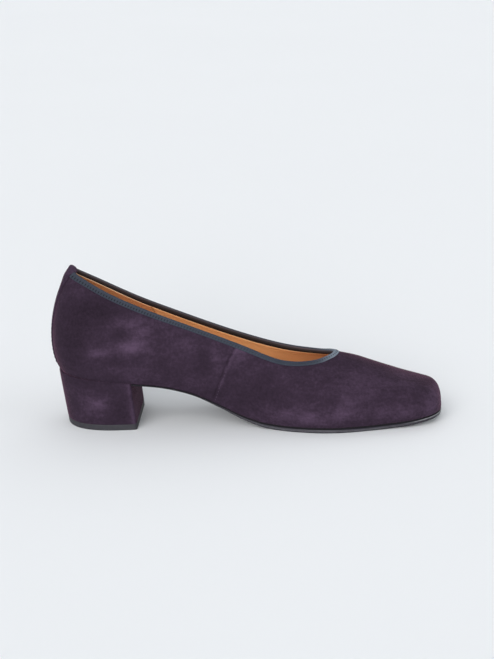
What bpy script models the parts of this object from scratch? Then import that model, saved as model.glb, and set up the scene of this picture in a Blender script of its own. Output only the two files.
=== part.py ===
"""Women's court shoe (pump) with a square toe and a low block heel: one left shoe, standing empty.

The toe points to +X, the inner (medial) side is -Y, and the floor is z = 0. Lengths are in millimetres
until a mesh is made, which turns them into metres.
"""

import bmesh
import bpy
import numpy as np

MM = 0.001

# Driving dimensions of the size 37 last and of the materials that are put on it.
LENGTH = 248.0
BALL_WIDTH = 80.0
COLLAR_HEIGHT = 100.0
HEEL_LIFT = 34.8
SOLE_THICKNESS = 3.5
WALL = 1.8
INSOLE_THICKNESS = 2.6
INSOLE_INSET = WALL + 0.5
BINDING_THICKNESS = 0.45
BINDING_OUTSIDE = 2.6
BINDING_INSIDE = 2.4
STRIP_THICKNESS = 0.8
STRIP_WIDTH_FOOT = 14.0
STRIP_WIDTH_TOP = 11.0
STRIP_INSIDE = 8.0
STRIP_LOWEST = 0.008
SOLE_BEVEL = 0.7
SOLE_BEVEL_SHARE = 0.2
SOLE_STEP = 0.5
SOLE_STEP_SHARE = 0.68
TOP_PIECE_THICKNESS = 3.8
GAP = 0.3

# The topline's handles aim this far outside the feather edge, so that they also lean out at the waist.
HANDLE_LEAN = 10.8

# Heel block: its breast and its tread, as places along the last and shares of the seat's width, and
# the ledge by which it stands out past the feather edge.
BREAST_STATION = 0.205
BREAST_FOOT_STATION = 0.216
HEEL_FOOT_BACK_STATION = 0.0327
HEEL_FOOT_WIDTH = 0.97
HEEL_LEDGE = 0.9
BREAST_CORNER = 2.0

# Sections round the last, from the back seam by the inner side to the toe and back by the outer side.
# station and side place the feather edge, where the wall meets the sole; collar_* place its upper end,
# the topline. bulge and rise are the handle that the wall leaves the sole with, run and drop the one
# that it reaches the topline with. Stations are shares of LENGTH from the heel, sides, bulge and run
# of BALL_WIDTH, collar heights of COLLAR_HEIGHT, and rise and drop of the section's own height.
SECTION_COLUMNS = (
    "station", "side", "collar_station", "collar_side", "collar_height", "bulge", "rise", "run", "drop"
)
SECTIONS = {
    "back seam": (0.014, 0.000, 0.055, 0.000, 1.000, 0.099, 0.24, 0.172, 0.29),
    "back, inner": (0.046, -0.246, 0.069, -0.079, 0.955, 0.085, 0.26, 0.170, 0.31),
    "heel, inner": (0.113, -0.338, 0.113, -0.135, 0.894, 0.075, 0.31, 0.169, 0.37),
    "seat, inner": (0.218, -0.331, 0.218, -0.200, 0.783, 0.106, 0.33, 0.112, 0.37),
    "waist, inner": (0.359, -0.300, 0.359, -0.269, 0.647, 0.094, 0.34, 0.081, 0.34),
    "joint, inner": (0.500, -0.338, 0.500, -0.300, 0.520, 0.075, 0.31, 0.088, 0.31),
    "ball rear, inner": (0.605, -0.444, 0.587, -0.312, 0.436, 0.088, 0.35, 0.112, 0.27),
    "ball, inner": (0.718, -0.500, 0.660, -0.256, 0.414, 0.106, 0.42, 0.163, 0.24),
    "toe side, inner": (0.846, -0.425, 0.697, -0.175, 0.420, 0.100, 0.42, 0.250, 0.27),
    "toe quarter, inner": (0.930, -0.369, 0.714, -0.119, 0.426, 0.100, 0.43, 0.335, 0.29),
    "toe corner, inner": (0.981, -0.269, 0.720, -0.075, 0.429, 0.090, 0.53, 0.375, 0.30),
    "toe front": (0.993, -0.106, 0.723, -0.038, 0.430, 0.085, 0.59, 0.385, 0.32),
    "toe corner, outer": (0.981, 0.106, 0.720, 0.000, 0.426, 0.090, 0.54, 0.375, 0.34),
    "toe quarter, outer": (0.930, 0.238, 0.714, 0.044, 0.419, 0.100, 0.45, 0.335, 0.34),
    "toe side, outer": (0.846, 0.323, 0.697, 0.106, 0.406, 0.100, 0.42, 0.250, 0.31),
    "ball, outer": (0.710, 0.444, 0.660, 0.206, 0.393, 0.100, 0.42, 0.163, 0.26),
    "joint, outer": (0.581, 0.475, 0.581, 0.269, 0.415, 0.088, 0.35, 0.119, 0.28),
    "waist front, outer": (0.440, 0.406, 0.440, 0.269, 0.526, 0.094, 0.33, 0.112, 0.30),
    "waist rear, outer": (0.306, 0.369, 0.306, 0.235, 0.662, 0.106, 0.33, 0.112, 0.34),
    "seat, outer": (0.210, 0.350, 0.210, 0.198, 0.770, 0.106, 0.33, 0.125, 0.37),
    "heel, outer": (0.113, 0.331, 0.113, 0.135, 0.902, 0.081, 0.31, 0.169, 0.37),
    "back, outer": (0.046, 0.246, 0.069, 0.079, 0.968, 0.085, 0.26, 0.170, 0.31),
}

# The tread line seen from the side: how far the sole's underside is lifted off the floor, as a share
# of HEEL_LIFT, and how thick the sole is there, as a share of SOLE_THICKNESS.
TREAD_COLUMNS = ("station", "lift", "thickness")
TREAD = (
    (0.000, 0.993, 0.36),
    (0.113, 0.909, 0.36),
    (0.202, 0.838, 0.36),
    (0.274, 0.774, 0.37),
    (0.355, 0.622, 0.42),
    (0.427, 0.376, 0.55),
    (0.492, 0.140, 0.75),
    (0.548, 0.026, 0.92),
    (0.613, 0.000, 1.00),
    (0.806, 0.000, 1.00),
    (0.895, 0.029, 0.97),
    (0.952, 0.079, 0.93),
    (1.000, 0.144, 0.88),
)

# How finely the solids are faceted.
SIDE_COLUMNS = 45
OUTSOLE_COLUMNS = 37
WALL_ROWS = 11
LINING_ROWS = 11
RIM_TURNS = 3
BINDING_COLUMNS = 80
STRIP_COLUMNS = 9
STRIP_ROWS = 16
HEEL_COLUMNS = 18
HEEL_RINGS = 4
END_CROWDING = 0.45
FINE_STEPS = 4000
SLOPE_STEP = 0.002
SHARP_ANGLE = np.radians(35)

# Whether a ring's two sides share their first column, and whether they share their last one.
WHOLE_RING = (True, True)
FRONT_RING = (False, True)
BACK_RING = (True, False)

COLOURS = {
    "suede": ((0.050, 0.030, 0.052), 0.95),
    "binding": ((0.050, 0.068, 0.086), 0.75),
    "insole_leather": ((0.72, 0.50, 0.35), 0.55),
    "sole_rubber": ((0.028, 0.030, 0.032), 0.45),
    "top_piece_rubber": ((0.060, 0.064, 0.066), 0.55),
}


# Smooth curves through the rows of the tables

def hermite(knots, values, slopes, at):
    """The piecewise cubic with these values and slopes at the knots, read at positions `at`."""
    cell = np.clip(np.searchsorted(knots, at, side="right") - 1, 0, len(knots) - 2)
    span = (knots[cell + 1] - knots[cell])[..., None]
    t = (at - knots[cell])[..., None] / span
    start = values[cell] * (1 + 2 * t) * (1 - t) ** 2 + slopes[cell] * span * t * (1 - t) ** 2
    end = values[cell + 1] * t * t * (3 - 2 * t) + slopes[cell + 1] * span * t * t * (t - 1)
    return start + end


def closed_slopes(knots, values):
    """Slopes that make the closed curve through the rows smooth to its second derivative."""
    count = len(values)
    inverse = 1 / np.diff(knots)
    chord = (np.roll(values, -1, axis=0) - values) * (inverse**2)[:, None]
    matrix = np.zeros((count, count))
    for row in range(count):
        before = (row - 1) % count
        matrix[row, before] += inverse[before]
        matrix[row, row] += 2 * (inverse[before] + inverse[row])
        matrix[row, (row + 1) % count] += inverse[row]
    return np.linalg.solve(matrix, 3 * (np.roll(chord, 1, axis=0) + chord))


def level_slopes(knots, values):
    """Slopes that add no rise or dip between rows, so that a level stretch stays level."""
    chord = np.diff(values, axis=0) / np.diff(knots)[:, None]
    slopes = np.zeros_like(values)
    same_way = chord[:-1] * chord[1:] > 0
    mean = 2 * chord[:-1] * chord[1:] / np.where(same_way, chord[:-1] + chord[1:], 1)
    slopes[1:-1] = np.where(same_way, mean, 0)
    slopes[0], slopes[-1] = chord[0], chord[-1]
    return slopes


SECTION_ROWS = np.array(list(SECTIONS.values()))
FEATHER_ROWS = SECTION_ROWS[:, :2] * (LENGTH, BALL_WIDTH)
FEATHER_STEPS = np.linalg.norm(np.roll(FEATHER_ROWS, -1, axis=0) - FEATHER_ROWS, axis=1)
SECTION_KNOTS = np.concatenate([[0.0], np.cumsum(FEATHER_STEPS)])
GIRTH = SECTION_KNOTS[-1]
SECTION_SLOPES = closed_slopes(SECTION_KNOTS, SECTION_ROWS)
TREAD_STATIONS = np.array(TREAD)[:, TREAD_COLUMNS.index("station")]
TREAD_VALUES = np.array(TREAD)[:, TREAD_COLUMNS.index("lift") :]
TREAD_SLOPES = level_slopes(TREAD_STATIONS, TREAD_VALUES)


def along_x(station):
    """The x of a station: the last is centred on the origin."""
    return (station - 0.5) * LENGTH


def tread_line(x):
    """Height of the sole's underside over the floor, and the sole's thickness, at x."""
    station = np.clip(np.asarray(x) / LENGTH + 0.5, 0, 1)
    values = hermite(TREAD_STATIONS, TREAD_VALUES, TREAD_SLOPES, station)
    return values[..., 0] * HEEL_LIFT, values[..., 1] * SOLE_THICKNESS


def feather_height(x):
    """Height of the feather edge at x: it clears the sole's upper face by GAP."""
    lift, thickness = tread_line(x)
    return lift + thickness + GAP


def section(at):
    """The section at girth position `at` round the feather edge, as a dict of its columns."""
    closed_rows = np.concatenate([SECTION_ROWS, SECTION_ROWS[:1]])
    slopes = np.concatenate([SECTION_SLOPES, SECTION_SLOPES[:1]])
    values = hermite(SECTION_KNOTS, closed_rows, slopes, np.mod(at, GIRTH))
    return dict(zip(SECTION_COLUMNS, np.moveaxis(values, -1, 0)))


def feather(at):
    """Plan position (x, y) of the feather edge."""
    row = section(at)
    return np.stack([along_x(row["station"]), row["side"] * BALL_WIDTH], axis=-1)


def back_of_feather():
    """The x of the feather edge at the back seam."""
    return feather(np.zeros(1))[0, 0]


def unit(vectors):
    """The same directions, one long."""
    return vectors / np.linalg.norm(vectors, axis=-1, keepdims=True)


def outward(at):
    """Plan direction that points away from the foot, square to the feather edge."""
    ahead = unit(feather(at + SLOPE_STEP) - feather(at - SLOPE_STEP))
    return np.stack([ahead[..., 1], -ahead[..., 0]], axis=-1)


# The upper's own surface, which every piece on it is cut from

def section_handles(at):
    """The four control points of the wall's section: feather edge, two handles, topline."""
    row = section(at)
    foot_plan = feather(at)
    top_plan = np.stack([along_x(row["collar_station"]), row["collar_side"] * BALL_WIDTH], axis=-1)
    foot_z = feather_height(foot_plan[..., 0])
    top_z = row["collar_height"] * COLLAR_HEIGHT
    height = top_z - foot_z
    away = outward(at)
    bulge = (row["bulge"] * BALL_WIDTH)[..., None]
    run = (row["run"] * BALL_WIDTH)[..., None]
    towards_foot = unit(foot_plan + away * HANDLE_LEAN - top_plan)
    low_plan = foot_plan + away * bulge
    high_plan = top_plan + towards_foot * run
    plans = (foot_plan, low_plan, high_plan, top_plan)
    heights = (foot_z, foot_z + row["rise"] * height, top_z - row["drop"] * height, top_z)
    return [np.concatenate([plan, z[..., None]], axis=-1) for plan, z in zip(plans, heights)]


def wall(at, up):
    """Point of the upper's outside, `at` along its girth and `up` from feather edge (0) to topline (1)."""
    at, up = np.broadcast_arrays(np.asarray(at, float), np.asarray(up, float))
    foot, low, high, top = section_handles(at)
    u = up[..., None]
    return foot * (1 - u) ** 3 + low * 3 * u * (1 - u) ** 2 + high * 3 * u * u * (1 - u) + top * u**3


def wall_frame(at, up):
    """Unit directions on the upper's outside: square out of it, and up along it."""
    along = wall(np.asarray(at) + SLOPE_STEP, up) - wall(np.asarray(at) - SLOPE_STEP, up)
    rising = wall(at, np.asarray(up) + SLOPE_STEP) - wall(at, np.asarray(up) - SLOPE_STEP)
    return unit(np.cross(along, rising)), unit(rising)


def up_at_depth(at, depth):
    """The `up` that lies `depth` below the topline, measured along the wall."""
    _, _, high, top = section_handles(np.asarray(at, float))
    return 1 - depth / (3 * np.linalg.norm(top - high, axis=-1))


def ring_positions(first_x, last_x, count, joined):
    """Girth positions of a ring's columns: along the inner side, then back along the outer at equal x.

    They stand closer at heel and toe, where the outline turns. `joined` says whether the two sides
    share their first column, and whether they share their last one.
    """
    fine = np.linspace(0, GIRTH, FINE_STEPS)
    x = feather(fine)[:, 0]
    toe = int(np.argmax(x))
    first, last = np.interp([first_x, last_x], x[: toe + 1], fine[: toe + 1])
    even = np.linspace(0, 1, count)
    inner = first + (last - first) * (even - END_CROWDING * np.sin(2 * np.pi * even) / (2 * np.pi))
    outer = np.interp(-feather(inner)[:, 0], -x[toe:], fine[toe:])
    return np.concatenate([inner, outer[int(joined[0]) : count - int(joined[1])][::-1]])


# Meshes

def material(name):
    """Plain finish of one of the shoe's materials."""
    made = bpy.data.materials.get(name) or bpy.data.materials.new(name)
    colour, roughness = COLOURS[name]
    made.use_nodes = True
    shader = made.node_tree.nodes["Principled BSDF"]
    shader.inputs["Base Color"].default_value = (*colour, 1)
    shader.inputs["Roughness"].default_value = roughness
    shader.inputs["Metallic"].default_value = 0
    return made


def add_object(name, mesh_data, finish, parent):
    """Closes a bmesh into a named, smooth-shaded object on the shoe's empty."""
    mesh = bpy.data.meshes.new(name)
    bmesh.ops.recalc_face_normals(mesh_data, faces=mesh_data.faces)
    mesh_data.to_mesh(mesh)
    mesh_data.free()
    mesh.shade_smooth()
    mesh.set_sharp_from_angle(angle=SHARP_ANGLE)
    mesh.materials.append(material(finish))
    made = bpy.data.objects.new(name, mesh)
    bpy.context.scene.collection.objects.link(made)
    made.parent = parent
    return made


def ring_vertices(mesh_data, rings):
    """Vertices of a stack of rings, in metres."""
    return [[mesh_data.verts.new(point * MM) for point in ring] for ring in rings]


def bridge(mesh_data, lower, upper):
    """Faces between two rings of vertices."""
    for i in range(len(lower)):
        j = (i + 1) % len(lower)
        mesh_data.faces.new((lower[i], lower[j], upper[j], upper[i]))


def hollow_ring(name, rings, finish, parent):
    """A solid whose rings turn right round its wall, as the upper's do: outside up, inside down."""
    mesh_data = bmesh.new()
    rows = ring_vertices(mesh_data, rings)
    for lower, upper in zip(rows, rows[1:] + rows[:1]):
        bridge(mesh_data, lower, upper)
    return add_object(name, mesh_data, finish, parent)


def fill_across(mesh_data, ring, joined):
    """Faces across a ring that pair its two sides at equal x, so that a curved plate stays ruled."""
    at_start, at_end = int(joined[0]), int(joined[1])
    pairs = (len(ring) - at_start - at_end) // 2
    inner = ring[: at_start + pairs + at_end]
    outer = ring[:at_start] + ring[::-1][:pairs] + ring[at_start + pairs : at_start + pairs + at_end]
    for i in range(len(inner) - 1):
        corners = dict.fromkeys((inner[i], inner[i + 1], outer[i + 1], outer[i]))
        mesh_data.faces.new(tuple(corners))


def plate(name, rings, joined, finish, parent):
    """A solid between a lowest and a highest ring, both filled across."""
    mesh_data = bmesh.new()
    rows = ring_vertices(mesh_data, rings)
    for lower, upper in zip(rows, rows[1:]):
        bridge(mesh_data, lower, upper)
    fill_across(mesh_data, rows[0], joined)
    fill_across(mesh_data, rows[-1], joined)
    return add_object(name, mesh_data, finish, parent)


def sweep(name, sections, finish, parent):
    """A solid carried along a row of closed sections, with both ends filled."""
    mesh_data = bmesh.new()
    rows = ring_vertices(mesh_data, sections)
    for first, second in zip(rows, rows[1:]):
        bridge(mesh_data, first, second)
    mesh_data.faces.new(rows[0])
    mesh_data.faces.new(rows[-1])
    return add_object(name, mesh_data, finish, parent)


# The pieces

def make_upper(columns, parent):
    """Vamp and quarters: one wall, open at the topline and along the feather edge."""
    rising = np.linspace(0, 1, WALL_ROWS)
    falling = np.linspace(1, 0, LINING_ROWS)
    outside = [wall(columns, up) for up in rising]
    inside = [wall(columns, up) - WALL * wall_frame(columns, up)[0] for up in falling]
    return hollow_ring("upper", outside + inside, "suede", parent)


def over_topline(rim_at, outer_steps, inner_steps):
    """A path up the outside, over the topline at `rim_at` and down the inside of the wall.

    A step is a pair of `at` and `up`. Gives the points on the wall's faces and the directions square
    out of them, a row for each step.
    """
    points, directions = [], []
    for at, up in outer_steps:
        points.append(wall(at, up))
        directions.append(wall_frame(at, up)[0])
    rim = wall(rim_at, 1.0)
    out, rising = wall_frame(rim_at, 1.0)
    for turn in np.linspace(0, np.pi, RIM_TURNS + 2)[1:-1]:
        across = 0.5 * (1 - np.cos(turn))
        points.append(rim - WALL * across * out)
        directions.append(np.cos(turn) * out + np.sin(turn) * rising)
    for at, up in inner_steps:
        out_here = wall_frame(at, up)[0]
        points.append(wall(at, up) - WALL * out_here)
        directions.append(-out_here)
    return np.array(points), np.array(directions)


def make_binding(parent):
    """Folded tape over the topline, from one edge of the back strip round the throat to the other."""
    end_gap = 2 * GAP
    reach = strip_reach(1.0, STRIP_WIDTH_TOP + 2 * end_gap)
    columns = np.linspace(reach, GIRTH - reach, BINDING_COLUMNS)
    outer_steps = [(columns, up_at_depth(columns, depth)) for depth in (BINDING_OUTSIDE, 0)]
    inner_steps = [(columns, up_at_depth(columns, depth)) for depth in (0, BINDING_INSIDE)]
    points, directions = over_topline(columns, outer_steps, inner_steps)
    near = points + GAP * directions
    far = points + (GAP + BINDING_THICKNESS) * directions
    sections = np.concatenate([far, near[::-1]]).transpose(1, 0, 2)
    return sweep("topline_binding", sections, "binding", parent)


def strip_reach(up, width):
    """Girth to either side of the back seam at which a strip over it is `width` wide."""
    reach = np.linspace(0, BALL_WIDTH / 2, FINE_STEPS)
    across = np.linalg.norm(wall(reach, up) - wall(-reach, up), axis=-1)
    return np.interp(width, across, reach)


def make_back_strip(parent):
    """Strip over the back seam, from the heel seat up over the topline and down inside."""
    across = np.linspace(-1, 1, STRIP_COLUMNS)
    outer_ups = np.linspace(STRIP_LOWEST, 1, STRIP_ROWS)
    inner_ups = up_at_depth(0.0, np.array([0, STRIP_INSIDE / 2, STRIP_INSIDE]))
    widths = STRIP_WIDTH_FOOT + (STRIP_WIDTH_TOP - STRIP_WIDTH_FOOT) * outer_ups
    outer_at = [across * strip_reach(up, width) for up, width in zip(outer_ups, widths)]
    inner_at = [across * strip_reach(up, STRIP_WIDTH_TOP) for up in inner_ups]
    points, directions = over_topline(outer_at[-1], zip(outer_at, outer_ups), zip(inner_at, inner_ups))
    near = points + GAP * directions
    far = points + (GAP + STRIP_THICKNESS) * directions
    return sweep("back_strip", np.concatenate([far, near[:, ::-1]], axis=1), "suede", parent)


def plan_ring(columns, inset, heights):
    """A ring at the feather edge's outline, taken in by `inset`, at the height given for each x."""
    plan = feather(columns) - outward(columns) * np.broadcast_to(inset, columns.shape)[:, None]
    return np.concatenate([plan, heights(plan[:, 0])[:, None]], axis=1)


def make_insole(columns, parent):
    """Covered insole that closes the upper's underside from within."""
    low = plan_ring(columns, INSOLE_INSET, feather_height)
    high = low + (0, 0, INSOLE_THICKNESS)
    return plate("insole", [low, high], WHOLE_RING, "insole_leather", parent)


def sole_height(share):
    """Height over the floor, for each x, of the given share of the sole's thickness."""
    def height(x):
        lift, thickness = tread_line(x)
        return lift + share * thickness
    return height


def make_outsole(toe_x, parent):
    """Outsole from the heel's breast to the toe: bevelled tread, stepped edge, thin at the waist."""
    columns = ring_positions(along_x(BREAST_STATION) + GAP, toe_x, OUTSOLE_COLUMNS, FRONT_RING)
    rings = [
        plan_ring(columns, SOLE_BEVEL, sole_height(0)),
        plan_ring(columns, 0, sole_height(SOLE_BEVEL_SHARE)),
        plan_ring(columns, 0, sole_height(SOLE_STEP_SHARE)),
        plan_ring(columns, SOLE_STEP, sole_height(SOLE_STEP_SHARE)),
        plan_ring(columns, SOLE_STEP, sole_height(1)),
    ]
    return plate("outsole", rings, FRONT_RING, "sole_rubber", parent)


def heel_ring(share, z):
    """Ring of the heel at a share of its height: the seat's outline (1) drawn in to the tread's (0).

    `z` gives the ring's height for each x of the seat's outline.
    """
    back_x, breast_x = back_of_feather(), along_x(BREAST_STATION)
    columns = ring_positions(back_x, breast_x - BREAST_CORNER, HEEL_COLUMNS, BACK_RING)
    corners = ring_positions(breast_x, breast_x, 1, (False, False))
    columns = np.insert(columns, HEEL_COLUMNS, corners)
    inset = np.full(len(columns), -HEEL_LEDGE)
    inset[HEEL_COLUMNS : HEEL_COLUMNS + 2] = BREAST_CORNER
    seat = plan_ring(columns, inset, z)
    foot_back, foot_breast = along_x(HEEL_FOOT_BACK_STATION), along_x(BREAST_FOOT_STATION)
    along = (seat[:, 0] - back_x) / (breast_x - back_x)
    foot_x = foot_back + along * (foot_breast - foot_back)
    x = share * seat[:, 0] + (1 - share) * foot_x
    y = seat[:, 1] * (share + (1 - share) * HEEL_FOOT_WIDTH)
    return np.stack([x, y, seat[:, 2]], axis=1)


def level(z):
    """One height for every x."""
    return lambda x: np.full(np.shape(x), z)


def make_heel(parent):
    """Heel block under the seat, and the top piece that it stands on."""
    foot_z = TOP_PIECE_THICKNESS + GAP
    foot_share = foot_z / HEEL_LIFT
    foot = heel_ring(foot_share, level(foot_z))
    seat = heel_ring(1, lambda x: feather_height(x) - GAP)
    block = [foot + (seat - foot) * share for share in np.linspace(0, 1, HEEL_RINGS)]
    plate("heel_block", block, BACK_RING, "suede", parent)
    top_share = TOP_PIECE_THICKNESS / HEEL_LIFT
    top_piece = [heel_ring(0, level(0.0)), heel_ring(top_share, level(TOP_PIECE_THICKNESS))]
    plate("heel_top_piece", top_piece, BACK_RING, "top_piece_rubber", parent)


def main():
    for old in list(bpy.data.objects):
        bpy.data.objects.remove(old)
    toe_x = feather(np.linspace(0, GIRTH, FINE_STEPS))[:, 0].max()
    columns = ring_positions(back_of_feather(), toe_x, SIDE_COLUMNS, WHOLE_RING)
    outside = wall(columns[None, :], np.linspace(0, 1, WALL_ROWS)[:, None])[..., :2].reshape(-1, 2)
    middle = 0.5 * (outside.min(axis=0) + outside.max(axis=0))
    shoe = bpy.data.objects.new("pump_shoe", None)
    shoe.location = (-middle[0] * MM, -middle[1] * MM, 0)
    bpy.context.scene.collection.objects.link(shoe)
    make_upper(columns, shoe)
    make_binding(shoe)
    make_back_strip(shoe)
    make_insole(columns, shoe)
    make_outsole(toe_x, shoe)
    make_heel(shoe)
    bpy.context.view_layer.update()


main()
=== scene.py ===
import bmesh
import bpy
import numpy as np
from mathutils import Matrix, Vector


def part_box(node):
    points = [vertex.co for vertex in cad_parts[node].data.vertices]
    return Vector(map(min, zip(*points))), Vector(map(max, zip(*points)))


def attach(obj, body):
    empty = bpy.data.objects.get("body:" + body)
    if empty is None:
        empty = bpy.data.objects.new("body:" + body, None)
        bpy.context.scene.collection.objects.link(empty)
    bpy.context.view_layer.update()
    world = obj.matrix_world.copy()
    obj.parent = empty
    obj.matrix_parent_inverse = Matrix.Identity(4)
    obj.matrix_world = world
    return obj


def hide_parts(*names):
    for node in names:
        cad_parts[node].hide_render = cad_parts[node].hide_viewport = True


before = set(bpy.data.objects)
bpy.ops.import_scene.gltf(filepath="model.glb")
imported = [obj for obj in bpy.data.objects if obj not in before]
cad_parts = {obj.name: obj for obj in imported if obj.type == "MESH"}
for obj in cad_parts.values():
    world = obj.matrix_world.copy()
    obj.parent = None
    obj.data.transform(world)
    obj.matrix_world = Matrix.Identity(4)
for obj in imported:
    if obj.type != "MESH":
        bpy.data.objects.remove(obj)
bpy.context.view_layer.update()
print("frame loaded:", ", ".join(sorted(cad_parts)))

mm = 0.001
tau = 2 * np.pi
mergeGap = 1e-6    # points closer than this, in metres, become one
sharpAngle = 50    # edges of sole and heel that turn by more degrees than this stay sharp

# The last in millimetres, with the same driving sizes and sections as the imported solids
last = {
    "length": 248.0, "ballWidth": 80.0, "collarHeight": 100.0, "heelLift": 34.8,
    "wall": 1.8, "soleThickness": 3.5, "soleGap": 0.3, "handleLean": 10.8,
    "fineSteps": 4000, "slopeStep": 0.002, "roughColumns": 720, "roughRows": 40,
}
# A row for each section, from the back seam by the inner side to the toe and back by the outer side:
# station and side of the feather edge; station, side and height of the topline;
# bulge and rise of the handle at the sole; run and drop of the handle at the topline
sections = np.array([
    (0.014, 0.000, 0.055, 0.000, 1.000, 0.099, 0.24, 0.172, 0.29),    # back seam
    (0.046, -0.246, 0.069, -0.079, 0.955, 0.085, 0.26, 0.170, 0.31),  # back, inner
    (0.113, -0.338, 0.113, -0.135, 0.894, 0.075, 0.31, 0.169, 0.37),  # heel, inner
    (0.218, -0.331, 0.218, -0.200, 0.783, 0.106, 0.33, 0.112, 0.37),  # seat, inner
    (0.359, -0.300, 0.359, -0.269, 0.647, 0.094, 0.34, 0.081, 0.34),  # waist, inner
    (0.500, -0.338, 0.500, -0.300, 0.520, 0.075, 0.31, 0.088, 0.31),  # joint, inner
    (0.605, -0.444, 0.587, -0.312, 0.436, 0.088, 0.35, 0.112, 0.27),  # ball rear, inner
    (0.718, -0.500, 0.660, -0.256, 0.414, 0.106, 0.42, 0.163, 0.24),  # ball, inner
    (0.846, -0.425, 0.697, -0.175, 0.420, 0.100, 0.42, 0.250, 0.27),  # toe side, inner
    (0.930, -0.369, 0.714, -0.119, 0.426, 0.100, 0.43, 0.335, 0.29),  # toe quarter, inner
    (0.981, -0.269, 0.720, -0.075, 0.429, 0.090, 0.53, 0.375, 0.30),  # toe corner, inner
    (0.993, -0.106, 0.723, -0.038, 0.430, 0.085, 0.59, 0.385, 0.32),  # toe front
    (0.981, 0.106, 0.720, 0.000, 0.426, 0.090, 0.54, 0.375, 0.34),    # toe corner, outer
    (0.930, 0.238, 0.714, 0.044, 0.419, 0.100, 0.45, 0.335, 0.34),    # toe quarter, outer
    (0.846, 0.323, 0.697, 0.106, 0.406, 0.100, 0.42, 0.250, 0.31),    # toe side, outer
    (0.710, 0.444, 0.660, 0.206, 0.393, 0.100, 0.42, 0.163, 0.26),    # ball, outer
    (0.581, 0.475, 0.581, 0.269, 0.415, 0.088, 0.35, 0.119, 0.28),    # joint, outer
    (0.440, 0.406, 0.440, 0.269, 0.526, 0.094, 0.33, 0.112, 0.30),    # waist front, outer
    (0.306, 0.369, 0.306, 0.235, 0.662, 0.106, 0.33, 0.112, 0.34),    # waist rear, outer
    (0.210, 0.350, 0.210, 0.198, 0.770, 0.106, 0.33, 0.125, 0.37),    # seat, outer
    (0.113, 0.331, 0.113, 0.135, 0.902, 0.081, 0.31, 0.169, 0.37),    # heel, outer
    (0.046, 0.246, 0.069, 0.079, 0.968, 0.085, 0.26, 0.170, 0.31),    # back, outer
])
# Tread line from the side: station, lift as a share of the heel's, thickness as a share of the sole's
tread = np.array([
    (0.000, 0.993, 0.36), (0.113, 0.909, 0.36), (0.202, 0.838, 0.36), (0.274, 0.774, 0.37),
    (0.355, 0.622, 0.42), (0.427, 0.376, 0.55), (0.492, 0.140, 0.75), (0.548, 0.026, 0.92),
    (0.613, 0.000, 1.00), (0.806, 0.000, 1.00), (0.895, 0.029, 0.97), (0.952, 0.079, 0.93),
    (1.000, 0.144, 0.88),
])
# Slight rises of the rim on the inner side: place along the girth, reach and height in mm
rimRises = np.array([(30.0, 18.0, 1.9), (100.0, 24.0, 1.0)])


# 1 at gap 0, falling away to either side like a bell as wide as its reach
def bell(gap, reach):
    return np.exp(-(gap / reach) ** 2)


# 0 up to start, 1 from start + run on and straight between; a negative run counts backwards
def rise(x, start, run):
    return np.clip((x - start) / run, 0, 1)


# Each vector over its own length
def unit(vectors):
    return vectors / np.linalg.norm(vectors, axis=-1, keepdims=True)


# Length along lines of points, from their first ones: the sum of the steps
def runAlong(points):
    return np.cumsum(np.linalg.norm(np.diff(points, axis=0, prepend=points[:1]), axis=-1), axis=0)


# On each span: the two end values and the two end slopes, weighted by the Hermite cubics
def hermite(knots, values, slopes, at):
    cell = np.clip(np.searchsorted(knots, at, side="right") - 1, 0, len(knots) - 2)
    span = (knots[cell + 1] - knots[cell])[..., None]
    t = (at - knots[cell])[..., None] / span
    start = values[cell] * (1 + 2 * t) * (1 - t) ** 2 + slopes[cell] * span * t * (1 - t) ** 2
    return start + values[cell + 1] * t * t * (3 - 2 * t) + slopes[cell + 1] * span * t * t * (t - 1)


# Slopes of a closed curve with an unbroken second derivative: one cyclic set of linear equations
def closedSlopes(knots, values):
    count = len(values)
    ahead = 1 / np.diff(knots)
    behind = np.roll(ahead, 1)
    chord = (np.roll(values, -1, axis=0) - values) * (ahead ** 2)[:, None]
    row = np.arange(count)
    matrix = np.diag(2 * (ahead + behind))
    matrix[row, (row + 1) % count] += ahead
    matrix[row, (row - 1) % count] += behind
    return np.linalg.solve(matrix, 3 * (np.roll(chord, 1, axis=0) + chord))


# Slopes that overshoot nowhere: the harmonic mean of the chords on either side, 0 where they turn
def levelSlopes(knots, values):
    chord = np.diff(values, axis=0) / np.diff(knots)[:, None]
    sameWay = chord[:-1] * chord[1:] > 0
    mean = 2 * chord[:-1] * chord[1:] / np.where(sameWay, chord[:-1] + chord[1:], 1)
    return np.concatenate([chord[:1], np.where(sameWay, mean, 0), chord[-1:]])


featherRows = sections[:, :2] * (last["length"], last["ballWidth"])
girthKnots = runAlong(np.concatenate([featherRows, featherRows[:1]]))
girth = girthKnots[-1]
fineGirth = np.linspace(0, girth, last["fineSteps"])
sectionSlopes = closedSlopes(girthKnots, sections)
closedRows = np.concatenate([sections, sections[:1]])
closedRowSlopes = np.concatenate([sectionSlopes, sectionSlopes[:1]])
treadSlopes = levelSlopes(tread[:, 0], tread[:, 1:])


# Points in plan with their heights added
def lifted(plan, z):
    return np.concatenate([plan, z[..., None]], axis=-1)


# x of a station, counted from the middle of the length
def xAt(station):
    return (station - 0.5) * last["length"]


# The nine columns of the section at a place along the girth
def sectionAt(at):
    return np.moveaxis(hermite(girthKnots, closedRows, closedRowSlopes, np.mod(at, girth)), -1, 0)


# Height of the sole's underside, and its thickness, at x
def treadLine(x):
    station = np.clip(np.asarray(x) / last["length"] + 0.5, 0, 1)
    values = hermite(tread[:, 0], tread[:, 1:], treadSlopes, station)
    return values[..., 0] * last["heelLift"], values[..., 1] * last["soleThickness"]


# Height of the given share of the sole's thickness at x
def soleHeight(x, share):
    lift, thickness = treadLine(x)
    return lift + share * thickness


# Height of the feather edge: the sole's upper side and the gap over it
def featherHeight(x):
    return soleHeight(x, 1) + last["soleGap"]


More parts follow.
